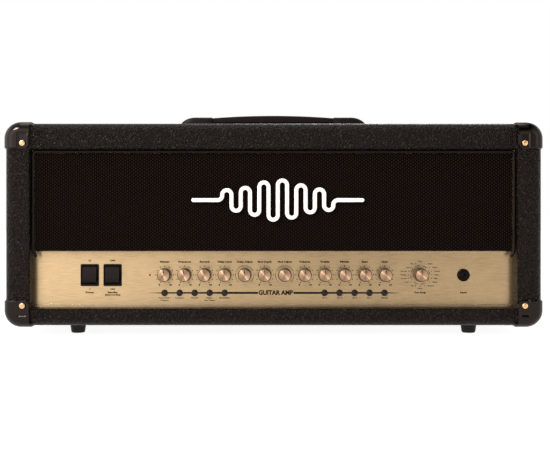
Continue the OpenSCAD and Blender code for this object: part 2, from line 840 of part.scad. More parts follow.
module rear_board() color([0.13, 0.12, 0.12]) difference() {
    box([-in_x + rear_gap, rear_board_y, rear_board_z0], [in_x - rear_gap, y_back - vinyl_t, in_z1 - rear_gap]);
    box([-window_x, rear_board_y - 1, window_z0], [window_x, far, window_z1]);
    rear_shanks();
}

module vent_grille() color([0.16, 0.16, 0.16]) difference() {
    columns = 16;
    rows = 6;
    step_x = 2 * window_x / columns;
    step_z = (window_z1 - window_z0) / rows;
    box([-window_x - mesh_lap, rear_board_y - mesh_t, window_z0 - mesh_lap],
        [window_x + mesh_lap, rear_board_y, window_z1 + mesh_lap]);
    for (i = [0:columns - 1], j = [0:rows - 1])
        translate([-window_x + (i + 0.5) * step_x, rear_board_y, window_z0 + (j + 0.5) * step_z])
            cube([step_x - 7, 10, step_z - 6], center = true);
}

cabinet_top_board();
cabinet_bottom_board();
cabinet_sides();
cabinet_battens();
vinyl_covering();
grille_board();
grille_cloth();
grille_piping();
front_badge();
corner_caps();
corner_cap_screws();
feet();
cabinet_screws();
handle_end_caps();
handle_strap();
handle_grip();
chassis();
chassis_bolts();
control_panel();
control_pots();
push_switches();
rocker_housings();
power_led();
input_jack();
circuit_boards();
mains_transformer();
output_transformer();
reservoir_capacitors();
valves();
valve_sockets();
rear_connector_plate();
mains_inlet_and_fuses();
rear_sockets();
rear_board();
vent_grille();
rocker(power_rocker_x);  // power_rocker
rocker(standby_rocker_x);  // standby_rocker
knob(knob_xs[0]);  // knob_master
knob(knob_xs[1]);  // knob_presence
knob(knob_xs[2]);  // knob_reverb
knob(knob_xs[3]);  // knob_delay_level
knob(knob_xs[4]);  // knob_delay_adjust
knob(knob_xs[5]);  // knob_mod_depth
knob(knob_xs[6]);  // knob_mod_adjust
knob(knob_xs[7]);  // knob_volume
knob(knob_xs[8]);  // knob_treble
knob(knob_xs[9]);  // knob_middle
knob(knob_xs[10]);  // knob_bass
knob(knob_xs[11]);  // knob_gain
knob(selector_x);  // knob_preamp_select
button(left_button_x);  // button_footswitch_program
button(left_button_x + button_pitch);  // button_compare
button(left_button_x + 2 * button_pitch);  // button_reverb
button(left_button_x + 3 * button_pitch);  // button_tap_tempo
button(left_button_x + 4 * button_pitch);  // button_modulation
button(right_button_x);  // button_channel_4
button(right_button_x + button_pitch);  // button_channel_3
button(right_button_x + 2 * button_pitch);  // button_channel_2
button(right_button_x + 3 * button_pitch);  // button_channel_1
button(right_button_x + 4 * button_pitch);  // button_manual
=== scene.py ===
"""Looks of the guitar amplifier head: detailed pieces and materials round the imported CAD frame.

Lengths are millimetres until a mesh is made, which is in metres. X runs to the viewer's right, the front
faces -Y, and Z = 0 is under the feet.
"""

import math
import bmesh
import bpy
import numpy as np
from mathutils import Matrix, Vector


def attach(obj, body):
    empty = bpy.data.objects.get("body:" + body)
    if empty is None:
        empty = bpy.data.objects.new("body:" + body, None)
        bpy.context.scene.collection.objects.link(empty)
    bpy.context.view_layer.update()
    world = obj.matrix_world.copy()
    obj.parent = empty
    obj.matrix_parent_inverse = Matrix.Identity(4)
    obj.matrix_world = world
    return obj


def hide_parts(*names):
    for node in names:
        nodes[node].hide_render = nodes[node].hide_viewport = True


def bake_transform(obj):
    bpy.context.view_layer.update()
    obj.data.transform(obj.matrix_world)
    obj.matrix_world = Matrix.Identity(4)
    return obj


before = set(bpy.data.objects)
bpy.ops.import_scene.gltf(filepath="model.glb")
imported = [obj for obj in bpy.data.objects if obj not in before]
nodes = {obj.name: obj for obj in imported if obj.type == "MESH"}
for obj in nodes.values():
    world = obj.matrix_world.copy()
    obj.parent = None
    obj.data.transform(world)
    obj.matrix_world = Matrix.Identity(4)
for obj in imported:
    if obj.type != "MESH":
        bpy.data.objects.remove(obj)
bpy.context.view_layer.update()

MM = 0.001
HALF_W, HALF_H, HALF_D = 376.5, 142.0, 105.0
Z_BOT, Z_MID, Z_TOP = 14.3, 156.3, 298.3
CORNER_R, EDGE_R = 21.5, 12.0
IN_X, IN_Z0, IN_Z1 = 357.5, 33.3, 279.3
OPEN_X, OPEN_Z0, OPEN_Z1 = 341.0, 38.7, 261.4
GRILLE_Y, GRILLE_Z0 = -96.0, 118.9
PANEL_Y, REAR_Y, REAR_Z = -81.0, 86.0, 76.35
KNOB_Z, BUTTON_Z, ROCKER_Z = 84.7, 59.0, 84.4
KNOB_XS = [-154.8 + 28.46 * i for i in range(12)]
SELECTOR_X, JACK_X, JACK_Z, LED_X = 208.7, 270.3, 84.3, -176.0
LEFT_BUTTONS, RIGHT_BUTTONS, BUTTON_PITCH = -154.8, 72.7, 21.34
ROCKER_XS = {"power": -261.3, "standby": -228.8}
KNOBS = ["master", "presence", "reverb", "delay_level", "delay_adjust", "mod_depth", "mod_adjust", "volume",
         "treble", "middle", "bass", "gain"]
BUTTONS = ["footswitch_program", "compare", "reverb", "tap_tempo", "modulation",
           "channel_4", "channel_3", "channel_2", "channel_1", "manual"]


def add_object(name, data):
    made = bpy.data.objects.new(name, data)
    bpy.context.scene.collection.objects.link(made)
    return made


# ---------- camera ----------

lens_data = bpy.data.cameras.new("camera")
lens_data.lens = 60.9
lens_data.sensor_width = 36
lens_data.shift_x = 0.0145
lens_data.shift_y = 0.0055
camera = add_object("camera", lens_data)
camera.location = (-0.00915, -1.405, 0.1513)
camera.rotation_euler = (math.radians(90), 0, 0)
bpy.context.scene.camera = camera
bpy.context.scene.view_settings.view_transform = "Standard"


# ---------- materials ----------

WARM_GLOSS = (1, 0.78, 0.68, 1)


class Nodes:
    """A node tree, with short ways to add to it."""

    def __init__(self, tree):
        self.tree = tree

    def node(self, kind, **settings):
        made = self.tree.nodes.new(kind)
        for setting, value in settings.items():
            setattr(made, setting, value)
        return made

    def link(self, source, target):
        self.tree.links.new(source, target)

    def ramp(self, value, start, end, low=0, high=1, interpolation="LINEAR"):
        """Maps start to end onto low to high, and holds the ends."""
        made = self.node("ShaderNodeMapRange", interpolation_type=interpolation)
        for socket, number in (("From Min", start), ("From Max", end), ("To Min", low), ("To Max", high)):
            made.inputs[socket].default_value = number
        self.link(value, made.inputs["Value"])
        return made.outputs["Result"]

    def math(self, operation, *terms):
        made = self.node("ShaderNodeMath", operation=operation)
        for socket, term in zip(made.inputs, terms):
            if isinstance(term, (int, float)):
                socket.default_value = term
            else:
                self.link(term, socket)
        return made.outputs[0]


class Paint(Nodes):
    """A Principled material whose colour, roughness and bump come from patterns. Sizes are in mm."""

    def __init__(self, name, colour, roughness, metallic=0.0, **sockets):
        self.material = bpy.data.materials.new(name)
        self.material.use_nodes = True
        super().__init__(self.material.node_tree)
        self.shader = self.tree.nodes["Principled BSDF"]
        self.colour = colour
        self.normal = None
        self.shader.inputs["Base Color"].default_value = (*colour, 1)
        self.shader.inputs["Roughness"].default_value = roughness
        self.shader.inputs["Metallic"].default_value = metallic
        for socket, value in sockets.items():
            self.shader.inputs[socket.replace("_", " ")].default_value = value
        if not metallic:
            self.shader.inputs["Specular Tint"].default_value = WARM_GLOSS

    def place(self, stretch, wobble=None):
        """Object coordinates, stretched by these factors, and shifted about by a noise of (size, amount)."""
        point = self.node("ShaderNodeTexCoord").outputs["Object"]
        if wobble:
            size, amount = wobble
            noise = self.node("ShaderNodeTexNoise")
            noise.inputs["Scale"].default_value = 1 / (size * MM)
            noise.inputs["Detail"].default_value = 1
            self.link(point, noise.inputs["Vector"])
            shift = self.node("ShaderNodeVectorMath", operation="MULTIPLY_ADD")
            self.link(noise.outputs["Color"], shift.inputs[0])
            shift.inputs[1].default_value = (amount * MM,) * 3
            self.link(point, shift.inputs[2])
            point = shift.outputs[0]
        mapping = self.node("ShaderNodeMapping")
        mapping.inputs["Scale"].default_value = stretch
        self.link(point, mapping.inputs["Vector"])
        return mapping.outputs["Vector"]

    def noise(self, size, detail=3.0, stretch=(1, 1, 1)):
        made = self.node("ShaderNodeTexNoise")
        made.inputs["Scale"].default_value = 1 / (size * MM)
        made.inputs["Detail"].default_value = detail
        self.link(self.place(stretch), made.inputs["Vector"])
        return made.outputs["Fac"]

    def cells(self, size, stretch=(1, 1, 1), wobble=None, feature="SMOOTH_F1"):
        made = self.node("ShaderNodeTexVoronoi", feature=feature)
        made.inputs["Scale"].default_value = 1 / (size * MM)
        self.link(self.place(stretch, wobble), made.inputs["Vector"])
        return made.outputs["Distance"]

    def bands(self, size, axis, wobble=None):
        made = self.node("ShaderNodeTexWave", wave_type="BANDS", bands_direction=axis)
        made.inputs["Scale"].default_value = 0.314 / (size * MM)
        self.link(self.place((1, 1, 1), wobble), made.inputs["Vector"])
        return made.outputs["Fac"]

    def along(self, axis, start, end):
        """0 to 1 between two positions on an axis."""
        split = self.node("ShaderNodeSeparateXYZ")
        self.link(self.place((1, 1, 1)), split.inputs[0])
        return self.ramp(split.outputs[axis], start * MM, end * MM, interpolation="SMOOTHSTEP")

    def mix(self, share, first, second):
        """Base colour between two, each a colour or an output."""
        made = self.node("ShaderNodeMix", data_type="RGBA")
        self.link(share, made.inputs[0])
        for socket, colour in ((made.inputs[6], first), (made.inputs[7], second)):
            if isinstance(colour, tuple):
                socket.default_value = (*colour, 1)
            else:
                self.link(colour, socket)
        self.link(made.outputs[2], self.shader.inputs["Base Color"])

    def tint(self, factor, colour, start=0.3, end=0.7):
        """Mixes the base colour towards another one where the pattern is high."""
        before = self.shader.inputs["Base Color"]
        first = before.links[0].from_socket if before.is_linked else self.colour
        self.mix(self.ramp(factor, start, end), first, colour)
        return self

    def shine(self, factor, low, high):
        self.link(self.ramp(factor, 0.3, 0.7, low, high), self.shader.inputs["Roughness"])
        return self

    def bump(self, factor, depth):
        made = self.node("ShaderNodeBump")
        made.inputs["Distance"].default_value = depth * MM
        self.link(factor, made.inputs["Height"])
        if self.normal is not None:
            self.link(self.normal, made.inputs["Normal"])
        self.normal = made.outputs["Normal"]
        self.link(self.normal, self.shader.inputs["Normal"])
        return self


def leathercloth(name, colour, light):
    """Wobbly cells for the pressed grain, with a finer one over them."""
    p = Paint(name, colour, 0.4, Specular_IOR_Level=0.13)
    grain = p.cells(2.1, wobble=(5, 3.5))
    p.tint(grain, light)
    p.shine(p.noise(9), 0.24, 0.34)
    p.bump(grain, 4.5)
    return p.bump(p.noise(0.9), 0.25)


def moulded(name, colour, low, high, depth=0.02, size=0.8, gloss=0.5, **sockets):
    p = Paint(name, colour, high, Specular_IOR_Level=gloss, **sockets)
    p.shine(p.noise(12), low, high)
    p.tint(p.noise(30), tuple(1.35 * c for c in colour))
    return p.bump(p.noise(size), depth)


def metal(name, colour, low, high, depth=0.01, stretch=(1, 1, 1), size=1.0, **sockets):
    p = Paint(name, colour, high, 1.0, **sockets)
    streak = p.noise(size, 4, stretch)
    p.shine(streak, low, high)
    p.tint(p.noise(25), tuple(0.86 * c for c in colour))
    return p.bump(streak, depth)


tolex = leathercloth("black_leathercloth", (0.0008, 0.0006, 0.0005), (0.0095, 0.0065, 0.0054))
tolex_rear = leathercloth("black_leathercloth_rear", (0.006, 0.0052, 0.0048), (0.02, 0.0165, 0.015))
cap_plastic = moulded("glossy_black_plastic", (0.001, 0.0007, 0.0007), 0.03, 0.055, 0.002, 3.0, gloss=0.26)
satin_plastic = moulded("satin_black_plastic", (0.002, 0.0016, 0.0015), 0.2, 0.3, 0.012, gloss=0.09)
matte_plastic = moulded("matte_black_plastic", (0.008, 0.0072, 0.007), 0.38, 0.5, 0.05, 0.5, gloss=0.25)
handle_plastic = moulded("handle_moulding", (0.004, 0.0032, 0.003), 0.34, 0.46, 0.06, 0.7, gloss=0.12)
foot_rubber = moulded("foot_rubber", (0.007, 0.0065, 0.006), 0.5, 0.65, 0.05, 0.6, gloss=0.2)
piping_vinyl = moulded("piping_vinyl", (0.004, 0.0032, 0.003), 0.26, 0.36, 0.05, 0.9, gloss=0.14)
socket_plastic = moulded("socket_plastic", (0.004, 0.0037, 0.0037), 0.25, 0.34, 0.02, gloss=0.25)
button_plastic = moulded("button_plastic", (0.004, 0.0037, 0.0042), 0.2, 0.3, 0.01, gloss=0.3)
button_lens = moulded("button_lens", (0.006, 0.007, 0.0078), 0.08, 0.14, 0.004, gloss=0.25)
knob_plastic = moulded("knob_plastic", (0.008, 0.006, 0.005), 0.18, 0.28, 0.008, gloss=0.3)
paddle_plastic = moulded("paddle_plastic", (0.006, 0.0044, 0.0041), 0.24, 0.34, 0.01, gloss=0.13)
badge_plastic = moulded("white_badge_plastic", (0.7, 0.66, 0.62), 0.3, 0.42, 0.008)
led_lens = moulded("red_lamp", (0.34, 0.004, 0.003), 0.1, 0.16, 0.004, Coat_Weight=0.5)
bakelite = moulded("dark_bakelite", (0.035, 0.018, 0.012), 0.3, 0.42)
sleeve = moulded("capacitor_sleeve", (0.02, 0.035, 0.09), 0.25, 0.35)
brass = metal("brass_screws", (0.83, 0.52, 0.27), 0.2, 0.34)
zinc = metal("zinc_steel", (0.55, 0.56, 0.57), 0.3, 0.5, size=2.0)
zinc.tint(zinc.cells(9, feature="F1"), (0.68, 0.69, 0.7), 0.2, 0.9)
black_screw = metal("black_screws", (0.05, 0.05, 0.05), 0.3, 0.45)
painted_steel = moulded("black_painted_steel", (0.014, 0.0135, 0.0135), 0.36, 0.48, 0.04, 1.1)

gold = metal("brushed_gold_aluminium", (0.47, 0.325, 0.175), 0.26, 0.34, 0.003, (0.05, 1, 1), 0.6,
             Anisotropic=0.7)
gold.tint(gold.noise(0.8, 4, (0.05, 1, 1)), (0.495, 0.345, 0.19), 0.42, 0.62)
gold_tangent = gold.node("ShaderNodeTangent", direction_type="RADIAL", axis="X")
gold.link(gold_tangent.outputs[0], gold.shader.inputs["Tangent"])
# a lighter gold than the panel's: a painted highlight for the bright lines along the panel's top and bottom
# edges
gold_edge_painted_highlight = metal("gold_edge_painted_highlight", (0.8, 0.64, 0.44), 0.16, 0.26, 0.004, (0.02, 1, 1))

knob_metal = Paint("spun_copper_gold", (0.5, 0.305, 0.185), 0.48, 1.0, Anisotropic=0.98,
                   Anisotropic_Rotation=0.25)
knob_metal.shine(knob_metal.noise(6), 0.48, 0.52)
knob_metal.tint(knob_metal.noise(25), (0.485, 0.31, 0.19))
knob_tangent = knob_metal.node("ShaderNodeTangent", direction_type="RADIAL", axis="Y")
knob_metal.link(knob_tangent.outputs[0], knob_metal.shader.inputs["Tangent"])

ink = moulded("black_ink", (0.003, 0.0022, 0.002), 0.45, 0.6, 0.003, gloss=0.08)
fading_ink = metal("fading_ink", (0.006, 0.0045, 0.004), 0.45, 0.55, Specular_IOR_Level=0.1)


def thread(name, colour, light):
    p = Paint(name, colour, 0.62, Specular_IOR_Level=0.03)
    p.tint(p.noise(1.3, 2), light)
    return p.bump(p.noise(0.35), 0.05)


warp_thread = thread("warp_thread", (0.0105, 0.0058, 0.0042), (0.0125, 0.007, 0.0052))
weft_thread = thread("weft_thread", (0.001, 0.0007, 0.0006), (0.0014, 0.001, 0.0009))
cloth_back = thread("cloth_back", (0.001, 0.0007, 0.0006), (0.0015, 0.0011, 0.001))

plywood = Paint("plywood", (0.47, 0.3, 0.16), 0.6)
plywood.tint(plywood.noise(7, 5, (0.08, 1, 1)), (0.33, 0.19, 0.095))
plywood.bump(plywood.noise(2.2, 4, (0.1, 1, 1)), 0.08)
circuit_green = Paint("circuit_board", (0.012, 0.09, 0.035), 0.3)
circuit_green.tint(circuit_green.cells(4.5, feature="F1"), (0.03, 0.17, 0.07), 0.1, 0.5)
circuit_green.bump(circuit_green.noise(2), 0.05)
iron = Paint("transformer_iron", (0.035, 0.03, 0.028), 0.4, 0.5)
iron.tint(iron.bands(0.7, "Y"), (0.07, 0.06, 0.055))
iron.bump(iron.bands(0.7, "Y"), 0.15)
glass = Paint("valve_glass", (0.9, 0.95, 0.95), 0.03, Transmission_Weight=1.0, IOR=1.5)
glass.bump(glass.noise(20), 0.05)

FINISH = {
    "cabinet_top_board": plywood, "cabinet_bottom_board": plywood, "cabinet_sides": plywood,
    "cabinet_battens": plywood, "grille_board": plywood, "chassis": zinc, "chassis_bolts": zinc,
    "control_panel": gold, "control_pots": zinc, "push_switches": matte_plastic,
    "circuit_boards": circuit_green, "mains_transformer": iron, "output_transformer": iron,
    "reservoir_capacitors": sleeve, "valves": glass, "valve_sockets": bakelite,
    "rear_connector_plate": painted_steel, "mains_inlet_and_fuses": socket_plastic, "rear_board": tolex_rear,
}
for node_name, paint in FINISH.items():
    for material_slot in nodes[node_name].material_slots:
        material_slot.material = paint.material


# ---------- mesh helpers ----------

class Shape:
    """Vertices in mm and faces that become one mesh."""

    def __init__(self):
        self.vertices = []
        self.faces = []
        self.finishes = []

    def add(self, vertices, faces, place=None, finish=0):
        start = len(self.vertices)
        self.vertices.extend(place(p) if place else tuple(p) for p in vertices)
        self.faces.extend(tuple(i + start for i in face) for face in faces)
        self.finishes.extend([finish] * len(faces))
        return self


def piece(name, shape, paints, body="cabinet", replaces=(), sharp=32, weld=True, ride=True):
    """Makes a named object of the shape, with its materials, on its body."""
    mesh = bpy.data.meshes.new(name)
    mesh.from_pydata((np.array(shape.vertices, float) * MM).tolist(), [], shape.faces)
    paints = paints if isinstance(paints, (list, tuple)) else [paints]
    for paint in paints:
        mesh.materials.append(paint.material)
    mesh.polygons.foreach_set("material_index", shape.finishes)
    if weld:
        bm = bmesh.new()
        bm.from_mesh(mesh)
        bmesh.ops.remove_doubles(bm, verts=bm.verts, dist=1e-6)
        bmesh.ops.recalc_face_normals(bm, faces=bm.faces)
        bm.to_mesh(mesh)
        bm.free()
    mesh.polygons.foreach_set("use_smooth", [True] * len(mesh.polygons))
    mesh.set_sharp_from_angle(angle=math.radians(sharp))
    made = add_object(name, mesh)
    if ride:
        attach(made, body)
    if replaces:
        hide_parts(*replaces)
    return made


def on_panel(x, z):
    """Local Z points out of the control panel towards the player, and local Y points up."""
    return lambda p: (x + p[0], PANEL_Y - p[2], z + p[1])


def on_rear(x, z):
    """Local Z points out of the rear plate, and local Y points up."""
    return lambda p: (x - p[0], REAR_Y + p[2], z + p[1])


def facing(origin, out, up):
    """Local Z points along out, and local Y along up."""
    o, w, v = Vector(origin), Vector(out), Vector(up)
    u = v.cross(w)
    return lambda p: tuple(o + p[0] * u + p[1] * v + p[2] * w)


def polar(r, a):
    return r * math.cos(a), r * math.sin(a)


def turn(steps):
    """Angles of a full turn, in radians."""
    return [2 * math.pi * i / steps for i in range(steps)]


def lathe(profile, steps=48):
    """A body of revolution about Z, from (radius, height) pairs. Radius 0 closes an end."""
    vertices, rings = [], []
    for r, h in profile:
        if r == 0:
            rings.append([len(vertices)])
            vertices.append((0, 0, h))
        else:
            rings.append(list(range(len(vertices), len(vertices) + steps)))
            vertices += [(*polar(r, a), h) for a in turn(steps)]
    faces = []
    for low, high in zip(rings, rings[1:]):
        for i in range(steps):
            corners = [ring[k % len(ring)] for ring, k in ((low, i), (low, i + 1), (high, i + 1), (high, i))]
            faces.append(tuple(dict.fromkeys(corners)))
    return vertices, faces


def arc(centre, r, start, end, steps):
    """Points on an arc, in degrees."""
    angles = [math.radians(start + (end - start) * i / steps) for i in range(steps + 1)]
    return [(centre[0] + r * math.cos(a), centre[1] + r * math.sin(a)) for a in angles]


def rounded_loop(x0, x1, y0, y1, r, steps=6):
    """A rounded rectangle, counterclockwise."""
    centres = ((x1 - r, y1 - r), (x0 + r, y1 - r), (x0 + r, y0 + r), (x1 - r, y0 + r))
    return [p for k, centre in enumerate(centres) for p in arc(centre, r, 90 * k, 90 * k + 90, steps)]


def across_cabinet(half_w, z0, z1, r, y, grow=0.0, steps=8):
    """A rounded rectangle in the plane at y, grown all round by grow."""
    outline = rounded_loop(-half_w - grow, half_w + grow, z0 - grow, z1 + grow, r + grow, steps)
    return [(x, y, z) for x, z in outline]


def loft(loops, close_start=False, close_end=False):
    """Skins closed loops of 3-D points that all have the same count."""
    vertices = [p for loop in loops for p in loop]
    n = len(loops[0])
    faces = []
    for k in range(len(loops) - 1):
        for i in range(n):
            j = (i + 1) % n
            faces.append((k * n + i, k * n + j, (k + 1) * n + j, (k + 1) * n + i))
    if close_start:
        faces.append(tuple(range(n - 1, -1, -1)))
    if close_end:
        faces.append(tuple((len(loops) - 1) * n + i for i in range(n)))
    return vertices, faces


def slab(x0, x1, y0, y1, z0, z1, r, bevel):
    """A block with rounded corners in its local XY plane and bevelled rims."""
    def at(inset, z):
        corner = max(r - inset, 0.05)
        return [(x, y, z) for x, y in rounded_loop(x0 + inset, x1 - inset, y0 + inset, y1 - inset, corner, 4)]
    half = bevel * 0.3
    rims = ((bevel, z0), (half, z0 + half), (0, z0 + bevel), (0, z1 - bevel), (half, z1 - half), (bevel, z1))
    return loft([at(inset, z) for inset, z in rims], True, True)


def smoothstep(t):
    t = np.clip(t, 0, 1)
    return t * t * (3 - 2 * t)


def band(v, low, high, soft):
    """1 between two positions and 0 outside them, with soft ends."""
    return smoothstep((v - low) / soft) * (1 - smoothstep((v - high) / soft))


# ---------- cabinet ----------

LIP, REAR_LIP, LIP_CORNER_R = 2.2, 1.2, 0.8
VINYL_T = 0.8


def cabinet_distance(p):
    """Distance of points from the cabinet's rounded form, negative inside."""
    x, y, z = np.abs(p[:, 0]), np.abs(p[:, 1]), np.abs(p[:, 2] - Z_MID)
    qx, qz = x - (HALF_W - CORNER_R), z - (HALF_H - CORNER_R)
    d = np.hypot(np.maximum(qx, 0), np.maximum(qz, 0)) + np.minimum(np.maximum(qx, qz), 0)
    d = d - (CORNER_R - EDGE_R)
    w = y - (HALF_D - EDGE_R)
    return np.minimum(np.maximum(d, w), 0) + np.hypot(np.maximum(d, 0), np.maximum(w, 0)) - EDGE_R


def cabinet_skin():
    """The covering's outside: from behind the panel, round the front lip, over the box and into the back."""
    front = (OPEN_X, OPEN_Z0, OPEN_Z1, LIP_CORNER_R)
    back = (IN_X, IN_Z0, IN_Z1, LIP_CORNER_R)
    box = (HALF_W, Z_BOT, Z_TOP, CORNER_R)
    loops = [across_cabinet(*front, y) for y in (PANEL_Y - 0.3, -87, -HALF_D + LIP)]
    loops += [across_cabinet(*front, -HALF_D + LIP - LIP * math.sin(t), LIP * (1 - math.cos(t)))
              for t in np.radians([22, 45, 68, 90])]
    quarter = [math.radians(90 * k / 12) for k in range(13)]
    for end, angles in ((-1, quarter), (1, quarter[::-1])):
        for t in angles:
            y = end * (HALF_D - EDGE_R * (1 - math.cos(t)))
            loops.append(across_cabinet(*box, y, -EDGE_R * (1 - math.sin(t))))
    loops += [across_cabinet(*back, HALF_D - REAR_LIP + REAR_LIP * math.sin(t), REAR_LIP * (1 - math.cos(t)))
              for t in np.radians([90, 60, 30, 0])]
    return Shape().add(*loft(loops + [across_cabinet(*back, REAR_Y + 1)]))


skin = piece("cabinet_covering", cabinet_skin(), tolex, replaces=["vinyl_covering"])
thickness = skin.modifiers.new("thickness", "SOLIDIFY")
thickness.thickness = VINYL_T * MM
thickness.offset = -1


# ---------- corner caps ----------

CAP_T, CAP_BACK = 2.5, 46.0
CAP_X0, CAP_Z0 = OPEN_X + 0.5, OPEN_Z1 + 0.6
SCREW_X, SCREW_Z, SIDE_SCREW_Y = 351.0, 270.0, 73.0
REAR_SCREW_X, REAR_SCREW_Z = 366.0, 287.8
POCKET_R, POCKET_T = 4.4, 1.5
WING_CUT, TOP_WING_X = 8.5, 336.0
ON_PLANE = 1e-3


def on_form(points, height):
    """Moves points of the sharp-cornered box in or out to a height above the cabinet's rounded form."""
    core = np.array([HALF_W - 22, HALF_D - 18, HALF_H - 22])
    middle = np.array([0, 0, Z_MID])
    inner = np.clip(points - middle, -core, core) + middle
    along = points - inner
    along /= np.linalg.norm(along, axis=1)[:, None]
    low, high = np.full(len(points), 5.0), np.full(len(points), 60.0)
    for _ in range(34):
        half = (low + high) / 2
        inside = cabinet_distance(inner + along * half[:, None]) < height
        low, high = np.where(inside, half, low), np.where(inside, high, half)
    return inner + along * ((low + high) / 2)[:, None]


def pocket(across, up):
    """Depth of the round pocket that a screw head sits in."""
    return POCKET_T * (1 - smoothstep((np.hypot(across, up) - POCKET_R) / 0.9))


def cap_height(face, p, rear):
    """Height of a cap's outside above the covering, with its screw pockets, rib and sloping lips."""
    x, y, z = np.abs(p[:, 0]), np.abs(p[:, 1]), p[:, 2]
    high = np.full(len(p), CAP_T)
    if face == "side":
        high = high - pocket(y - SIDE_SCREW_Y, z - SCREW_Z)
        high = high * (0.25 + 0.75 * smoothstep((z - CAP_Z0) / 2.2))
    elif face == "top":
        if not rear:
            high = high * (0.06 + 0.94 * smoothstep((x - TOP_WING_X) / 5.5))
    elif rear:
        high = high - pocket(x - REAR_SCREW_X, z - REAR_SCREW_Z)
    else:
        high = high - POCKET_T * band(x, 345.2, 356.5, 1.2) * (1 - smoothstep((z - 282.9) / 1.2))
        high = high + 0.6 * band(x, 341.9, 344, 0.6) * band(z, 268, 280.4, 1.2)
        high = high * (0.4 + 0.6 * smoothstep((z - CAP_Z0) / 1.4))
    return high


def cap_shape(rear):
    """The cap at the right top corner: three sheets on the sharp box, trimmed and wrapped over the form."""
    sign = 1 if rear else -1
    step = 1.1 if rear else 0.72
    x_from, z_from = (IN_X + 1, IN_Z1 + 1) if rear else (CAP_X0, CAP_Z0)

    def samples(*stops):
        out = []
        for a, b in zip(stops, stops[1:]):
            out += list(np.linspace(a, b, max(2, round(abs(b - a) / step) + 1))[:-1])
        return out + [stops[-1]]

    xs, zs = samples(x_from, HALF_W), samples(z_from, Z_TOP)
    long_zs = samples(CAP_Z0, z_from, Z_TOP) if rear else zs
    long_xs = xs if rear else samples(TOP_WING_X, x_from, HALF_W)
    ys = samples(HALF_D - CAP_BACK, HALF_D - EDGE_R, HALF_D)
    sheets = [
        ([(x, sign * HALF_D, z) for x in xs for z in zs], len(xs), len(zs)),
        ([(x, sign * y, Z_TOP) for x in long_xs for y in ys], len(long_xs), len(ys)),
        ([(HALF_W, sign * y, z) for y in ys for z in long_zs], len(ys), len(long_zs)),
    ]
    bm = bmesh.new()
    kept = {}
    for points, rows, columns in sheets:
        grid = []
        for p in points:
            key = tuple(round(c, 4) for c in p)
            if key not in kept:
                kept[key] = bm.verts.new(p)
            grid.append(kept[key])
        for i in range(rows - 1):
            for j in range(columns - 1):
                corners = [grid[i * columns + j], grid[(i + 1) * columns + j],
                           grid[(i + 1) * columns + j + 1], grid[i * columns + j + 1]]
                centre = sum((v.co for v in corners), Vector()) / 4
                if rear and centre.z < z_from and abs(centre.y) > HALF_D - EDGE_R:
                    continue
                bm.faces.new(corners)
    bmesh.ops.delete(bm, geom=[v for v in bm.verts if not v.link_faces], context="VERTS")
    # each cut: the sheet's axis and place, then the cutting plane
    wing_end = sign * (HALF_D - CAP_BACK)
    cuts = [(0, HALF_W, (0, wing_end, CAP_Z0 + WING_CUT), (0, -sign, -1)),
            (2, Z_TOP, (x_from, wing_end + sign * WING_CUT, 0), (-1, -sign, 0))]
    if not rear:
        cuts.append((1, -HALF_D, (CAP_X0 + 5.9, 0, CAP_Z0), (-1, 0, -1)))
    for axis, at, plane_point, plane_out in cuts:
        faces = [f for f in bm.faces if all(abs(v.co[axis] - at) < ON_PLANE for v in f.verts)]
        edges = [e for f in faces for e in f.edges]
        corners = [v for f in faces for v in f.verts]
        bmesh.ops.bisect_plane(bm, geom=list(dict.fromkeys(faces + edges + corners)), dist=1e-4,
                               plane_co=plane_point, plane_no=plane_out, clear_outer=True)
    bmesh.ops.remove_doubles(bm, verts=bm.verts, dist=ON_PLANE)
    bm.verts.index_update()
    flat = np.array([v.co for v in bm.verts])
    height = np.full(len(flat), CAP_T)
    on_top = np.abs(flat[:, 2] - Z_TOP) < ON_PLANE
    on_side = (np.abs(flat[:, 0] - HALF_W) < ON_PLANE) & ~on_top
    on_end = ~on_top & ~on_side
    for face, where in (("top", on_top), ("side", on_side), ("end", on_end)):
        height[where] = cap_height(face, flat[where], rear)
    outside, inside = on_form(flat, height), on_form(flat, np.full(len(flat), -0.5))
    n = len(flat)
    faces = [tuple(v.index for v in f.verts) for f in bm.faces]
    open_edges = [[v.index for v in e.verts] for e in bm.edges if len(e.link_faces) == 1]
    walls = [(a, b, b + n, a + n) for a, b in open_edges]
    bm.free()
    return (np.concatenate([outside, inside]),
            faces + [tuple(i + n for i in reversed(f)) for f in faces] + walls)


def mirrored(vertices, x, z):
    out = np.array(vertices, float)
    out[:, 0] *= x
    if z < 0:
        out[:, 2] = 2 * Z_MID - out[:, 2]
    return out


for end_name, is_rear in (("front", False), ("rear", True)):
    cap_vertices, cap_faces = cap_shape(is_rear)
    caps = Shape()
    for mirror_x in (1, -1):
        for mirror_z in (1, -1):
            caps.add(mirrored(cap_vertices, mirror_x, mirror_z), cap_faces)
    made = piece(f"corner_caps_{end_name}", caps, cap_plastic, sharp=50,
                 replaces=["corner_caps"])
    rim = made.modifiers.new("rim", "BEVEL")
    rim.width = 0.35 * MM
    rim.segments = 2
    rim.angle_limit = math.radians(60)


# ---------- screws ----------

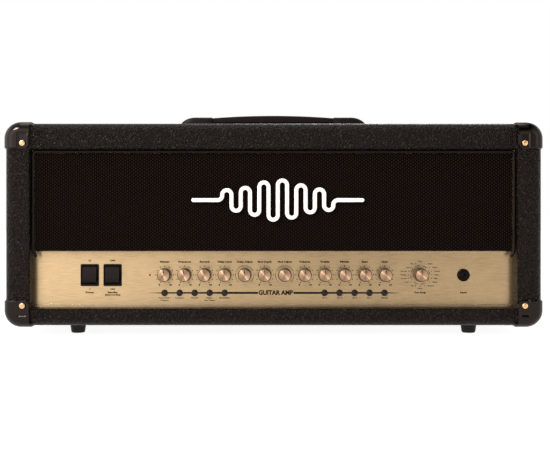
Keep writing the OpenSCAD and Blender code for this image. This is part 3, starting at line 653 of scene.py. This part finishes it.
def screw_head(r, h, shank_r, shank_l):
    """A domed head with a cross recess, on a shank."""
    rings, steps = 14, 64
    vertices, faces = [(0, 0, h * 0.42)], []
    for k in range(1, rings + 1):
        radius = r * k / rings
        for x, y in (polar(radius, a) for a in turn(steps)):
            dome = h * (0.62 + 0.38 * math.sqrt(max(0.0, 1 - (radius / r) ** 2.6)))
            off = min(abs(x), abs(y))
            arm = (1 - float(smoothstep((off - 0.13 * r) / (0.06 * r)))) * \
                (1 - float(smoothstep((radius - 0.52 * r) / (0.12 * r))))
            vertices.append((x, y, dome - 0.5 * h * arm))
    for i in range(steps):
        j = (i + 1) % steps
        faces.append((0, 1 + i, 1 + j))
    for radius, height in ((r, 0.12 * h), (r - 0.12 * h, 0), (shank_r, 0), (shank_r, -shank_l)):
        vertices += [(*polar(radius, a), height) for a in turn(steps)]
    last = 1 + (rings + 3) * steps
    for ring in range(1, last, steps):
        for i in range(steps):
            j = (i + 1) % steps
            faces.append((ring + i, ring + steps + i, ring + steps + j, ring + j))
    faces.append(tuple(last + i for i in range(steps - 1, -1, -1)))
    return vertices, faces


head = screw_head(r=3.9, h=2.4, shank_r=1.9, shank_l=14)
TURNED = [(0.26, 0.97), (0.8, 0.6), (0.97, -0.26), (0.5, 0.866)]
brass_screws = Shape()
for mirror_x in (1, -1):
    for top in (1, -1):
        z_front = Z_MID + top * (SCREW_Z - Z_MID)
        z_rear = Z_MID + top * (REAR_SCREW_Z - Z_MID)
        c, s = TURNED[(mirror_x > 0) + 2 * (top > 0)]
        face = HALF_D + 1
        brass_screws.add(*head, facing((mirror_x * SCREW_X, -face, z_front), (0, -1, 0), (c, 0, s)))
        brass_screws.add(*head, facing((mirror_x * REAR_SCREW_X, face, z_rear), (0, 1, 0), (s, 0, c)))
        for y in (-SIDE_SCREW_Y, SIDE_SCREW_Y):
            place = facing((mirror_x * (HALF_W + 1), y, z_front), (mirror_x, 0, 0), (0, c, s))
            brass_screws.add(*head, place)
piece("brass_cap_screws", brass_screws, brass, replaces=["corner_cap_screws"])

FOOT_X, FOOT_Y = 283, 55
black_screws = Shape()
small_head = screw_head(r=4, h=2.2, shank_r=2.1, shank_l=18)
tall_head = screw_head(r=4, h=2.6, shank_r=2.1, shank_l=20)
for mirror_x in (1, -1):
    for x, z in ((349.5, 141.4), (349.5, 200.35), (349.5, 254.3), (120, 271.3)):
        black_screws.add(*small_head, facing((mirror_x * x, 104, z), (0, 1, 0), (0.6, 0, 0.8)))
    black_screws.add(*tall_head, facing((mirror_x * 134, 0, Z_TOP + 8), (0, 0, 1), (0.8, 0.6, 0)))
    for y in (-FOOT_Y, FOOT_Y):
        black_screws.add(*tall_head, facing((mirror_x * FOOT_X, y, 9), (0, 0, -1), (0.9, 0.436, 0)))
piece("black_wood_screws", black_screws, black_screw, replaces=["cabinet_screws"])

feet = Shape()
foot_profile = [(2.2, Z_BOT), (11.2, Z_BOT), (11.5, 14.0), (11.4, 12.5), (9.95, 2.2), (9.6, 1.2), (8.7, 0.3),
                (8.1, 0), (5.5, 0), (5.1, 0.4), (5, 9), (2.2, 9), (2.2, Z_BOT)]
for x in (-FOOT_X, FOOT_X):
    for y in (-FOOT_Y, FOOT_Y):
        feet.add(*lathe(foot_profile, 56), lambda p, x=x, y=y: (x + p[0], y + p[1], p[2]))
piece("rubber_feet", feet, foot_rubber, replaces=["feet"], sharp=25)


# ---------- grille ----------

CLOTH_X, CLOTH_Z1 = 336.1, 256.5
WARP_PITCH, WEFT_PITCH = 3.0, 2.25
WEAVE_Y, WAVE = -95.0, 0.42


def threads(along_z):
    """Threads of a plain weave, each a closed three-sided tube that passes over and under the others."""
    shape = Shape()
    across, run = (WARP_PITCH, WEFT_PITCH) if along_z else (WEFT_PITCH, WARP_PITCH)
    span = (-CLOTH_X, CLOTH_X) if along_z else (GRILLE_Z0, CLOTH_Z1)
    length = (GRILLE_Z0, CLOTH_Z1) if along_z else (-CLOTH_X, CLOTH_X)
    count = round((span[1] - span[0]) / across)
    crossings = round((length[1] - length[0]) / run)
    half_w = (0.41 if along_z else 0.45) * across
    for k in range(count):
        side = span[0] + (k + 0.5) * (span[1] - span[0]) / count
        vertices, faces = [], []
        for i in range(2 * crossings + 1):
            at = length[0] + i * (length[1] - length[0]) / (2 * crossings)
            phase = math.sin(math.pi * (i / 2)) if i % 2 else 0.0
            y = WEAVE_Y - WAVE * phase * (1 if (k % 2 == 0) else -1) * (1 if along_z else -1)
            for off, out in ((-half_w, 0.16), (0, -0.46), (half_w, 0.16)):
                vertices.append((side + off, y + out, at) if along_z else (at, y + out, side + off))
        for i in range(2 * crossings):
            for j in range(3):
                a, b = 3 * i + j, 3 * i + (j + 1) % 3
                faces.append((a, b, b + 3, a + 3))
        faces += [(0, 1, 2), tuple(3 * 2 * crossings + j for j in (2, 1, 0))]
        shape.add(vertices, faces)
    return shape


warp = piece("grille_warp_threads", threads(True), warp_thread, sharp=180)
weft = piece("grille_weft_threads", threads(False), weft_thread, sharp=180)

backing = Shape().add(*loft([[(x, y, z) for x, z in ((-CLOTH_X, GRILLE_Z0), (CLOTH_X, GRILLE_Z0),
                                                     (CLOTH_X, CLOTH_Z1), (-CLOTH_X, CLOTH_Z1))]
                             for y in (-94.3, -93.8)], True, True))
cloth = piece("grille_cloth_ground", backing, cloth_back, replaces=["grille_cloth"])


def tube(path, r, steps=16):
    """A round bar along a path in the XZ plane, with rounded ends."""
    points = [Vector(p) for p in path]
    loops = []
    for i, p in enumerate(points):
        direction = (points[min(i + 1, len(points) - 1)] - points[max(i - 1, 0)]).normalized()
        u, v = Vector((0, 1, 0)), direction.cross(Vector((0, 1, 0)))
        radii = [(0, r)]
        if i == 0:
            radii = [(-r * math.cos(t), r * math.sin(t)) for t in np.radians([8, 30, 60])] + [(0, r)]
        elif i == len(points) - 1:
            radii = [(0, r)] + [(r * math.cos(t), r * math.sin(t)) for t in np.radians([60, 30, 8])]
        for shift, radius in radii:
            loops.append([tuple(p + direction * shift + radius * (math.cos(a) * u + math.sin(a) * v))
                          for a in turn(steps)])
    return loft(loops, True, True)


PIPE_X, PIPE_Z, PIPE_Y, PIPE_R, PIPE_BEND = 338.5, 258.9, -95.9, 2.2, 5.0
tail = [(PIPE_X - 4.2 * float(smoothstep((121 - z) / 11)), PIPE_Y, z)
        for z in (112.4, 114, 116, 118, 120, 123)]
bend = [(x, PIPE_Y, z) for x, z in arc((PIPE_X - PIPE_BEND, PIPE_Z - PIPE_BEND), PIPE_BEND, 0, 90, 8)]
half_path = tail + bend
whole_path = half_path + [(-x, y, z) for x, y, z in reversed(half_path)]
piece("grille_piping_bead", Shape().add(*tube(whole_path, PIPE_R)), piping_vinyl, replaces=["grille_piping"])

# ---------- badge: a line that swings like a plucked string ----------

BADGE_R, BADGE_TURNS, STROKE, BADGE_T = 6.5, 12, 5.6, 5.0
BADGE_X, BADGE_Z = 6, 190.5


def badge_line():
    def level(k):
        return (1 if k % 2 == 0 else -1) * (7 + 14.5 * math.exp(-((k - (BADGE_TURNS - 1) / 2) / 3) ** 2))
    x0 = -BADGE_TURNS * BADGE_R
    first, last = math.copysign(1, level(0)), math.copysign(1, level(BADGE_TURNS - 1))
    lead = -x0 + BADGE_R + 34
    line = [(-lead, 0)]
    line += arc((x0 - BADGE_R, first * BADGE_R), BADGE_R, -90 * first, 0, 12)
    for k in range(BADGE_TURNS):
        up = math.copysign(1, level(k))
        line += arc((x0 + (2 * k + 1) * BADGE_R, level(k)), BADGE_R, 180, 180 - 180 * up, 12)
    line += arc((-x0 + BADGE_R, last * BADGE_R), BADGE_R, 180, 180 + 90 * last, 12)
    return line + [(lead, 0)]


def stroke_section(w, t):
    b = min(1.1, w)
    left = [(-w, 0), (-w, t - b), (-w + 0.3 * b, t - 0.3 * b), (-w + b, t)]
    return left + [(-across, out) for across, out in reversed(left)]


badge_points = badge_line()
badge_loops = []
for i, p in enumerate(badge_points):
    before, after = badge_points[max(i - 1, 0)], badge_points[min(i + 1, len(badge_points) - 1)]
    dx, dz = after[0] - before[0], after[1] - before[1]
    run = math.hypot(dx, dz)
    dx, dz = dx / run, dz / run
    round_end = [(STROKE / 2 * math.cos(t), STROKE / 2 * math.sin(t)) for t in np.radians([10, 30, 50, 70])]
    ends = [(0, STROKE / 2)]
    if i == 0:
        ends = [(-shift, width) for shift, width in round_end] + ends
    elif i == len(badge_points) - 1:
        ends += round_end[::-1]
    for shift, width in ends:
        badge_loops.append([(BADGE_X + p[0] + dx * shift - dz * across, GRILLE_Y - out,
                             BADGE_Z + p[1] + dz * shift + dx * across)
                            for across, out in stroke_section(width, BADGE_T)])
piece("wave_badge", Shape().add(*loft(badge_loops, True, True)), badge_plastic, replaces=["front_badge"],
      sharp=40)

# ---------- control panel: edge beads in a lighter gold as a painted highlight, and printing ---

# half-round beads along the panel's top and bottom edges: the bead is real shape, and its lighter gold is a
# painted highlight
beads = Shape()
for z, r in ((117.3, 0.55), (42.6, 0.5)):
    beads.add(*loft([[(x, PANEL_Y + 0.1 - r * math.sin(a), z + r * math.cos(a))
                      for a in (math.pi * k / 8 for k in range(9))] for x in (-343, 343)], True, True))
piece("panel_edge_beads_painted_highlight", beads, gold_edge_painted_highlight)

print_shape = Shape()
PRINT_T = 0.04
DIAL_R, RING_R = 12.6, 13.2
TITLE_Z, SCALE_Z, LABEL_Z, CAPTION_ZS = 103.2, 70.3, 59.5, (51.9, 48.5)


def letters(text, size, bold=0.0, wide=1.0, align="CENTER"):
    """Outline text as (vertices, faces) in mm, at the origin. size is a capital's height."""
    curve = bpy.data.curves.new("letters", "FONT")
    curve.body = text
    curve.size = size * MM / 0.7
    curve.align_x = align
    curve.align_y = "CENTER"
    curve.resolution_u = 3
    curve.offset = bold * MM
    curve.extrude = PRINT_T / 2 * MM
    holder = add_object("letters", curve)
    bpy.context.view_layer.update()
    solid = holder.evaluated_get(bpy.context.evaluated_depsgraph_get())
    mesh = bpy.data.meshes.new_from_object(solid)
    vertices = [(v.co.x / MM * wide, v.co.y / MM, v.co.z / MM) for v in mesh.vertices]
    faces = [tuple(p.vertices) for p in mesh.polygons]
    bpy.data.objects.remove(holder)
    bpy.data.meshes.remove(mesh)
    bpy.data.curves.remove(curve)
    return vertices, faces


def write(text, x, z, size, bold=0.19, wide=1.36, align="CENTER"):
    print_shape.add(*letters(text, size, bold, wide, align), on_panel(x, z))


def ring_piece(x, z, r, width, start, end, steps=14, end_width=None):
    """A flat printed arc, clockwise from the top in degrees."""
    inner, outer = [], []
    for i in range(steps + 1):
        a = math.radians(90 - (start + (end - start) * i / steps))
        half = (width + ((end_width or width) - width) * i / steps) / 2
        inner.append(polar(r - half, a))
        outer.append(polar(r + half, a))
    outline = inner + outer[::-1]
    n = len(outline)
    bottom, top = ([(px, py, h) for px, py in outline] for h in (-PRINT_T / 2, PRINT_T / 2))
    print_shape.add(*loft([bottom, top]), on_panel(x, z))
    print_shape.add(top, [(i, i + 1, n - 2 - i, n - 1 - i) for i in range(steps)], on_panel(x, z))


def dot(x, z, r):
    print_shape.add(*lathe([(0, -PRINT_T / 2), (r, -PRINT_T / 2), (r, PRINT_T / 2), (0, PRINT_T / 2)], 14),
                    on_panel(x, z))


for name, x in zip(KNOBS, KNOB_XS):
    title = name.replace("_", " ").title()
    write(title, x, TITLE_Z, 2.4, wide=1.24 if " " in title else 1.42)
    if name in ("delay_adjust", "mod_adjust"):
        for start in (-142, -70, 2, 74):
            ring_piece(x, KNOB_Z, RING_R, 0.35, start, start + 64, end_width=0.8)
    else:
        for degrees in range(240, -61, -30):
            right, up = polar(DIAL_R, math.radians(degrees))
            dot(x + right, KNOB_Z + up, 0.74)
        write("0", x - 7.6, SCALE_Z, 2.1)
        write("10", x + 8, SCALE_Z, 2.1)

CAPTIONS = [("Footswitch /", "Program"), ("Compare", ""), ("Reverb", ""), ("Delay /", "Tap Tempo"),
            ("Modulation", ""), ("Ch. 4", ""), ("Ch. 3", ""), ("Ch. 2", ""), ("Ch. 1", ""), ("Manual", "")]
BUTTON_XS = [first + i * BUTTON_PITCH for first in (LEFT_BUTTONS, RIGHT_BUTTONS) for i in range(5)]
for (upper, lower), x in zip(CAPTIONS, BUTTON_XS):
    for words, z in zip((upper, lower), CAPTION_ZS):
        if words:
            write(words, x, z, 1.8, 0.1, 1.3)

power_x, standby_x = ROCKER_XS.values()
for text, x, z, size in (("O", power_x, 104.9, 2.4), ("I", power_x, 64.2, 2.2), ("Power", power_x, 59.6, 2.3),
                         ("OFF", standby_x, 104.9, 2.1), ("ON", standby_x, 64.2, 2.1),
                         ("Standby", standby_x, 59.6, 2.3), ("(silent recording)", standby_x, 56.2, 1.6),
                         ("Input", JACK_X, LABEL_Z, 2.3), ("Pre Amp", SELECTOR_X, LABEL_Z, 2.3)):
    write(text, x, z, size)
write("GUITAR AMP", 3.2, BUTTON_Z + 0.1, 6.2, 0.4, 0.95)

TONES = ["Clean", "Bright", "Warm", "Natural", "Deep", "Edge", "Classic", "Modern", "Heavy", "Fat", "Lead",
         "Crunch", "Vintage", "Smooth", "Soft", "Flat"]
# rows of the selector's legend: height, a number's distance from the middle, and where the words start
ROWS = [(15.7, 6.9, 10.8, 9.9), (10.3, 13.4, 17.4, 15.8), (5.1, 16.2, 19.6, 18.9), (0, 16.8, 20.4, 20.0),
        (-5.1, 16.2, 19.6, 18.9), (-10.3, 13.4, 17.4, 16.5), (-15.7, 6.9, 10.6, 9.3)]


def legend(number, number_at, word_at, align="CENTER"):
    """A preamp's number and name, each at (right, up) from the selector's middle."""
    write(str(number), SELECTOR_X + number_at[0], KNOB_Z + number_at[1], 1.6, 0.08, 1.1)
    write(TONES[number - 1], SELECTOR_X + word_at[0], KNOB_Z + word_at[1], 1.6, 0.08, 1.2, align)


for number, up in ((1, 1), (9, -1)):
    legend(number, (0, up * 16.9), (0, up * 19.4))
for row, (z, number_x, right_x, left_x) in enumerate(ROWS):
    legend(row + 2, (number_x, z), (right_x, z), "LEFT")
    legend(16 - row, (-number_x, z), (-left_x, z), "RIGHT")
for start in (-78, -33, 12, 57, 102, 147, 192, 237):
    ring_piece(SELECTOR_X, KNOB_Z, 13.4, 0.45, start, start + 30, 8, 0.9)
piece("panel_printing", print_shape, ink, sharp=180, weld=False)


def line_strip(stations):
    """A printed line that grows from its fading end, from (x, half thickness) pairs."""
    under, over = PANEL_Y + 0.01, PANEL_Y - 0.03
    return loft([[(x, under, BUTTON_Z - h), (x, over, BUTTON_Z - h), (x, over, BUTTON_Z + h),
                  (x, under, BUTTON_Z + h)] for x, h in stations], True, True)


inked = fading_ink.math("MULTIPLY", fading_ink.along(0, -186, -152), fading_ink.along(0, 190, 156))
fading_ink.mix(inked, (0.5, 0.34, 0.175), (0.006, 0.0045, 0.004))
fading_ink.link(fading_ink.math("SUBTRACT", 1, inked), fading_ink.shader.inputs["Metallic"])
lines = Shape()
lines.add(*line_strip([(-187, 0.8), (-150, 1.0), (-90, 1.25), (-66, 1.4), (-22, 1.5)]))
lines.add(*line_strip([(28.5, 1.5), (70, 1.4), (100, 1.25), (158, 1.0), (191, 0.75)]))
piece("panel_fading_lines", lines, fading_ink)

# ---------- knobs ----------

knob_profile = [(0, -9), (2.9, -9), (3, -8.8), (3, 4.4), (7.2, 4.4), (7.2, 0.8), (9.6, 0.8), (9.95, 1.15),
                (9.9, 2.4), (9.35, 12.0), (9.1, 16.3), (8.9, 16.8), (8.6, 16.95), (8.4, 16.85), (8.38, 16.2),
                (0, 16.2)]
cap_profile = [(0, 16.22), (8.3, 16.22), (8.32, 16.9), (8.2, 17.12), (7.95, 17.2), (4.0, 17.22), (0, 17.22)]
pointer = slab(-0.52, 0.52, 2.6, 7.9, 16.9, 17.26, 0.5, 0.03)


def make_knob(name, x):
    place, turning = on_panel(x, KNOB_Z), f"knob_{name}_turning"
    body = Shape().add(*lathe(knob_profile, 72), place).add(*pointer, place)
    piece(f"knob_{name}_body", body, knob_plastic, turning, [f"knob_{name}"], 25)
    cap = Shape().add(*lathe(cap_profile, 72), place)
    piece(f"knob_{name}_cap", cap, knob_metal, turning, sharp=25)


for name, x in zip(KNOBS, KNOB_XS):
    make_knob(name, x)
make_knob("preamp_select", SELECTOR_X)

# ---------- push buttons, lamp and rocker switches ----------

button_ring = [(0, -10.4), (1.5, -10.4), (1.5, -3.4), (4.5, -3.4), (4.6, -3.3), (4.6, 1.9), (4.45, 2.35),
               (4.1, 2.6), (3.5, 2.6), (3.25, 2.45), (3.1, 2.0)]
button_glass = [(3.1, 2.0), (2.2, 2.25), (1.2, 2.42), (0, 2.48)]
for name, x in zip(BUTTONS, BUTTON_XS):
    place = on_panel(x, BUTTON_Z)
    button = Shape().add(*lathe(button_ring, 40), place).add(*lathe(button_glass, 40), place, 1)
    piece(f"button_{name}_key", button, [button_plastic, button_lens], f"button_{name}_moving",
          [f"button_{name}"], 28)

lamp_profile = [(0, -10), (2.4, -10), (2.4, -6), (1.5, -6), (1.5, 0.6), (1.42, 1.1), (1.15, 1.6), (0.7, 1.95),
                (0, 2.1)]
lamp = Shape().add(*lathe(lamp_profile, 28), on_panel(LED_X, KNOB_Z))
piece("power_lamp", lamp, led_lens, replaces=["power_led"])

PIVOT_IN, TILT = 1.0, 8.0
WELL = (10.3, 12.8, 0.3, -14.5)
# half width, half height, corner radius and height above the panel, from the well's floor out round the rim
BEZEL = [WELL, (10.3, 12.8, 0.3, 0.8), (10.5, 13.0, 0.5, 1.5), (11.2, 13.7, 1.0, 1.7), (12.2, 14.9, 1.4, 2.0),
         (12.65, 15.35, 1.6, 1.85), (12.95, 15.65, 1.7, 1.3), (12.95, 15.65, 1.7, 0.02),
         (11.7, 14.2, 0.8, 0.02), (11.7, 14.2, 0.8, -25)]


def bezel_loop(half_w, half_h, r, z):
    return [(x, y, z) for x, y in rounded_loop(-half_w, half_w, -half_h, half_h, r, 5)]


bezels = Shape()
for x in ROCKER_XS.values():
    place = on_panel(x, ROCKER_Z)
    bezels.add(*loft([bezel_loop(*stage) for stage in BEZEL], False, True), place)
    well_floor = bezel_loop(*WELL)
    bezels.add(well_floor, [tuple(range(len(well_floor)))], place)
piece("rocker_bezels", bezels, satin_plastic, replaces=["rocker_housings"],
      sharp=25)


def paddle_shape():
    """The rocker's outline from the side: a flat face, a sloping lower end and round ends, on its pivot."""
    front = [(11.3, 5.0), (10.9, 5.25), (-5.6, 5.45), (-6.1, 5.3), (-11.2, 2.2), (-11.8, 1.6)]
    back = arc((0, 0), 12.5, 198, 204, 2) + [(-11.4, -5), (11.4, -5)] + arc((0, 0), 12.5, -24, -18, 2)
    side = front + back + [(12.1, 2.4)]

    def at(x, inset):
        return [(x, y * (1 - inset), z * (1 - 2 * inset)) for y, z in side]
    return loft([at(-9.7, 0.03), at(-9.95, 0), at(9.95, 0), at(9.7, 0.03)], True, True)


tilt = math.radians(-TILT)
for name, x in ROCKER_XS.items():
    place = on_panel(x, ROCKER_Z)

    def tilted(p, place=place):
        y = p[1] * math.cos(tilt) - p[2] * math.sin(tilt)
        z = p[1] * math.sin(tilt) + p[2] * math.cos(tilt)
        return place((p[0], y, z - PIVOT_IN))
    paddle = Shape().add(*paddle_shape(), tilted)
    pin, pin_faces = lathe([(0, -11.2), (1.5, -11.2), (1.5, 11.2), (0, 11.2)], 24)
    paddle.add([(x, y, z) for z, y, x in pin], pin_faces, tilted)
    piece(f"{name}_rocker_paddle", paddle, paddle_plastic, f"{name}_switch", [f"{name}_rocker"],
          25)

# ---------- sockets ----------


def hex_nut(r, h, bore):
    """A chamfered hexagon nut round a bore. r reaches its corners."""
    apothem = r * math.cos(math.radians(30))
    angles = turn(48)

    def circle(radius, z):
        return [(*polar(radius, a), z) for a in angles]

    def hexagon(z, clip=r):
        radii = [min(clip, apothem / math.cos((a % math.radians(60)) - math.radians(30))) for a in angles]
        return [(*polar(radius, a), z) for a, radius in zip(angles, radii)]
    return loft([circle(bore, 0), hexagon(0, apothem * 1.06), hexagon(0.45), hexagon(h - 0.9),
                 hexagon(h - 0.3, apothem * 1.05), hexagon(h, apothem * 0.97), circle(bore + 0.4, h),
                 circle(bore, h - 0.3), circle(bore, 0)])


def thread_profile(r, start, end, pitch=0.9, depth=0.22):
    out, h = [], start
    while h < end - 0.5:
        out += [(r, h), (r - depth, h + pitch / 2)]
        h += pitch
    return out + [(r, end - 0.45), (r - 0.35, end)]


def jack(shape, place, sheets, out, nut_r, nut_h, bore=3.25):
    shape.add(*slab(-10.5, 10.5, -10.5, 10.5, -sheets - 28, -sheets, 1.5, 0.5), place)
    inner = [(bore + 0.55, out), (bore + 0.1, out - 0.5), (bore, out - 1.0), (bore, out - 12),
             (1.2, out - 12.5), (0, out - 12.5)]
    shape.add(*lathe([(4.7, -sheets)] + thread_profile(4.68, nut_h - 0.6, out) + inner, 40), place)
    shape.add(*hex_nut(nut_r, nut_h, 4.72), place, 1)
    washer = [(4.75, 0.01), (nut_r * 0.98, 0.01), (nut_r, 0.25), (nut_r * 0.98, 0.5), (4.75, 0.5)]
    shape.add(*lathe(washer, 48), place, 1)


input_socket = Shape()
jack(input_socket, on_panel(JACK_X, JACK_Z), 3.0, 5.0, 9.0, 4.4)
piece("input_socket", input_socket, [socket_plastic, satin_plastic], replaces=["input_jack"],
      sharp=28)

rear_jacks = Shape()
for x in [-150 + 30 * i for i in range(5)] + [20 + 30 * i for i in range(6)]:
    jack(rear_jacks, on_rear(x, REAR_Z), 2.5, 4.6, 8.0, 3.4)
din_profile = [(8.9, -16), (8.9, 0), (10.4, 0.05), (10.6, 0.3), (10.6, 1.3), (10.3, 1.6), (7.9, 1.6),
               (7.6, 1.3), (7.6, -6.9), (5.6, -6.9), (5.6, 0.2), (5.4, 0.5), (0, 0.5)]
for x in (215, 250, 285):
    place = on_rear(x, REAR_Z)
    rear_jacks.add(*lathe(din_profile, 44), place)
    for k in range(5):
        a = math.radians(-90 + 45 * (k - 2) + 180)
        cx, cy = polar(3.6, a)
        contact, contact_faces = lathe([(0.95, 0.5), (0.95, 0.62), (0.6, 0.62), (0.55, 0.1), (0, 0.1)], 12)
        rear_jacks.add([(x + cx, y + cy, z) for x, y, z in contact], contact_faces, place, 1)
piece("rear_socket_row", rear_jacks, [socket_plastic, zinc], replaces=["rear_sockets"],
      sharp=28)

rear_print = Shape()
for text, x, z in (("SPEAKERS", -90, 94), ("16", -150, 62), ("16", -120, 62), ("8", -90, 62), ("8", -60, 62),
                   ("4", -30, 62), ("Footswitch", 20, 92), ("Send", 50, 92), ("Return", 80, 92),
                   ("Line out", 110, 92), ("Line in", 140, 92), ("Phones", 170, 92), ("In", 215, 92),
                   ("Out", 250, 92), ("Thru", 285, 92), ("Mains input", -290, 97), ("Fuse", -235, 92),
                   ("Fuse", -205, 92)):
    rear_print.add(*letters(text, 2.6, 0.06), on_rear(x, z))
pale_ink = moulded("pale_ink", (0.62, 0.6, 0.55), 0.4, 0.5, 0.003)
piece("rear_printing", rear_print, pale_ink, sharp=180, weld=False)

# ---------- perforated vent ----------


def perforated(x_half, z0, z1, y0, y1, pitch, hole_r):
    """A sheet with staggered round holes: square cells, each bridged from its edge to its hole."""
    columns, rows = round(2 * x_half / pitch), round((z1 - z0) / pitch)
    step_x, step_z = 2 * x_half / columns, (z1 - z0) / rows
    shape = Shape()
    n = 12
    for i in range(columns):
        for j in range(rows):
            cx, cz = -x_half + (i + 0.5) * step_x, z0 + (j + 0.5) * step_z
            edge, hole = [], []
            for a in turn(n):
                c, s = polar(1, a + math.pi / 4)
                reach = 1 / max(abs(c), abs(s))
                edge.append((cx + c * reach * step_x / 2, cz + s * reach * step_z / 2))
                hole.append((cx + hole_r * c, cz + hole_r * s))
            vertices = [(x, y, z) for y in (y0, y1) for ring in (edge, hole) for x, z in ring]
            faces = []
            for k in range(n):
                m = (k + 1) % n
                faces.append((k, m, n + m, n + k))
                faces.append((2 * n + m, 2 * n + k, 3 * n + k, 3 * n + m))
                faces.append((n + k, n + m, 3 * n + m, 3 * n + k))
            shape.add(vertices, faces)
    return shape


VENT_X, VENT_Z0, VENT_Z1, VENT_Y, VENT_RIM = 230, 157.4, 253.3, (93.9, 95), 10
vent = perforated(VENT_X, VENT_Z0, VENT_Z1, *VENT_Y, pitch=5.1, hole_r=1.75)
vent.add(*loft([across_cabinet(VENT_X + rim, VENT_Z0 - rim, VENT_Z1 + rim, 1, VENT_Y[back], steps=2)
                for back, rim in ((0, 0), (0, VENT_RIM), (1, VENT_RIM), (1, 0))]))
piece("perforated_vent", vent, painted_steel, replaces=["vent_grille"], sharp=40)

# ---------- handle ----------

STRAP_BOW, STRAP_TOP, STRAP_UNDER, STRAP_W = 1141.4, 20.9, 9.5, 30.0
HANDLE_CAP_H, SHOULDER_X, SHOULDER_L = 18.2, 116.0, 25.4


def handle_cap():
    """The right end cap: sections across it that fall to the cabinet at its outer end."""
    def section(x, half, height):
        r = min(4.5, half * 0.6, height * 0.6)
        points = [(half, 0)] + arc((half - r, height - r), r, 0, 90, 5)
        points += arc((-half + r, height - r), r, 90, 180, 5) + [(-half, 0)]
        return [(x, y, Z_TOP + 0.05 + z) for y, z in points]
    loops = [section(90.5, 17.2, HANDLE_CAP_H - 0.6), section(90.9, 17.8, HANDLE_CAP_H - 0.1)]
    loops += [section(x, 18, HANDLE_CAP_H) for x in (91.6, 100, 108)]
    for t in np.linspace(0, math.pi / 2, 16):
        drop = max(math.cos(t), 0)
        loops.append(section(SHOULDER_X + SHOULDER_L * math.sin(t), 18 * (0.28 + 0.72 * drop ** 0.62),
                             HANDLE_CAP_H * (0.02 + 0.98 * drop)))
    return loft(loops, True, True)


handle_caps = Shape()
cap_vertices, cap_faces = handle_cap()
for mirror_x in (1, -1):
    handle_caps.add([(mirror_x * x, y, z) for x, y, z in cap_vertices], cap_faces)
piece("handle_end_mouldings", handle_caps, handle_plastic, replaces=["handle_end_caps"],
      sharp=45)


def strap_half(side):
    """Half of the bowed strap, from the middle into its end cap."""
    def section(x):
        top = math.sqrt(STRAP_BOW ** 2 - x * x) - STRAP_BOW + STRAP_TOP + Z_TOP
        low, half = Z_TOP + STRAP_UNDER, STRAP_W / 2
        points = [(half, low + 2)] + arc((half - 2.4, top - 2.4), 2.4, 0, 80, 4)
        points += [(half - 7, top), (0, top), (-half + 7, top)]
        points += arc((-half + 2.4, top - 2.4), 2.4, 100, 180, 4) + [(-half, low + 2)]
        points += arc((-half + 1.6, low + 1.6), 1.6, 190, 270, 3)
        points += arc((half - 1.6, low + 1.6), 1.6, 270, 350, 3)
        return [(side * x, y, z) for y, z in points]
    return Shape().add(*loft([section(x) for x in np.linspace(0, 127, 64)], True, True))


for side, side_name, node_name in ((-1, "left", "handle_strap"), (1, "right", "handle_grip")):
    strap = piece(f"handle_strap_{side_name}", strap_half(side), handle_plastic, replaces=[node_name],
                  sharp=40, ride=False)
    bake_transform(strap)

# ---------- floor and light ------------------------

floor_mesh = bpy.data.meshes.new("floor")
floor_mesh.from_pydata([(-40, -40, 0), (40, -40, 0), (40, 40, 0), (-40, 40, 0)], [], [(0, 1, 2, 3)])
floor_paint = Paint("pale_floor", (0.3, 0.3, 0.3), 0.8, Specular_IOR_Level=0.0)
floor_paint.shader.inputs["Emission Color"].default_value = (1, 1, 1, 1)
floor_paint.shader.inputs["Emission Strength"].default_value = 0.93
floor_paint.shine(floor_paint.noise(500), 0.75, 0.85)
floor_mesh.materials.append(floor_paint.material)
add_object("floor", floor_mesh)


def softbox(name, place, aim, size, power):
    data = bpy.data.lights.new(name, "AREA")
    data.shape = "RECTANGLE"
    data.size, data.size_y = size
    data.energy = power
    light = add_object(name, data)
    light.location = place
    light.rotation_euler = (Vector(aim) - Vector(place)).to_track_quat("-Z", "Y").to_euler()


softbox("left_softbox", (-1.5, -1.7, 0.75), (-0.2, -0.1, 0.15), (1.3, 1.1), 5)
softbox("right_softbox", (1.7, -1.5, 0.6), (0.2, -0.1, 0.15), (1.0, 1.0), 3)
softbox("key_softbox", (-1.0, -1.1, 1.2), (0, -0.1, 0.12), (0.4, 0.4), 22)
softbox("top_softbox", (0, 0.1, 1.9), (0, 0, 0.2), (1.6, 1.2), 12)
softbox("back_softbox", (0.6, 2.2, 1.2), (0, 0, 0.15), (1.4, 1.0), 16)

world = bpy.data.worlds.new("studio")
bpy.context.scene.world = world
world.use_nodes = True
sky = Nodes(world.node_tree)
split = sky.node("ShaderNodeSeparateXYZ")
sky.link(sky.node("ShaderNodeTexCoord").outputs["Generated"], split.inputs[0])
across, depth, up = split.outputs


def glow(value, start, end, low=0, high=1):
    return sky.ramp(value, start, end, low, high, "SMOOTHSTEP")


slant = sky.math("ADD", across, sky.math("MULTIPLY", up, -0.5))
sides = sky.math("ADD", glow(slant, -0.02, -0.26, 0, 2.1), glow(slant, 0.05, 0.3, 0, 1.0))
front_glow = sky.math("MULTIPLY", sky.math("ADD", sides, 0.03), glow(up, 0.45, 0.75, 1, 0.35))
behind = glow(depth, 0.1, 0.5)
level = sky.math("ADD", sky.math("MULTIPLY", front_glow, sky.math("SUBTRACT", 1, behind)), behind)
background = sky.tree.nodes["Background"]
sky.link(level, background.inputs["Strength"])
background.inputs["Color"].default_value = (1, 1, 1, 1)
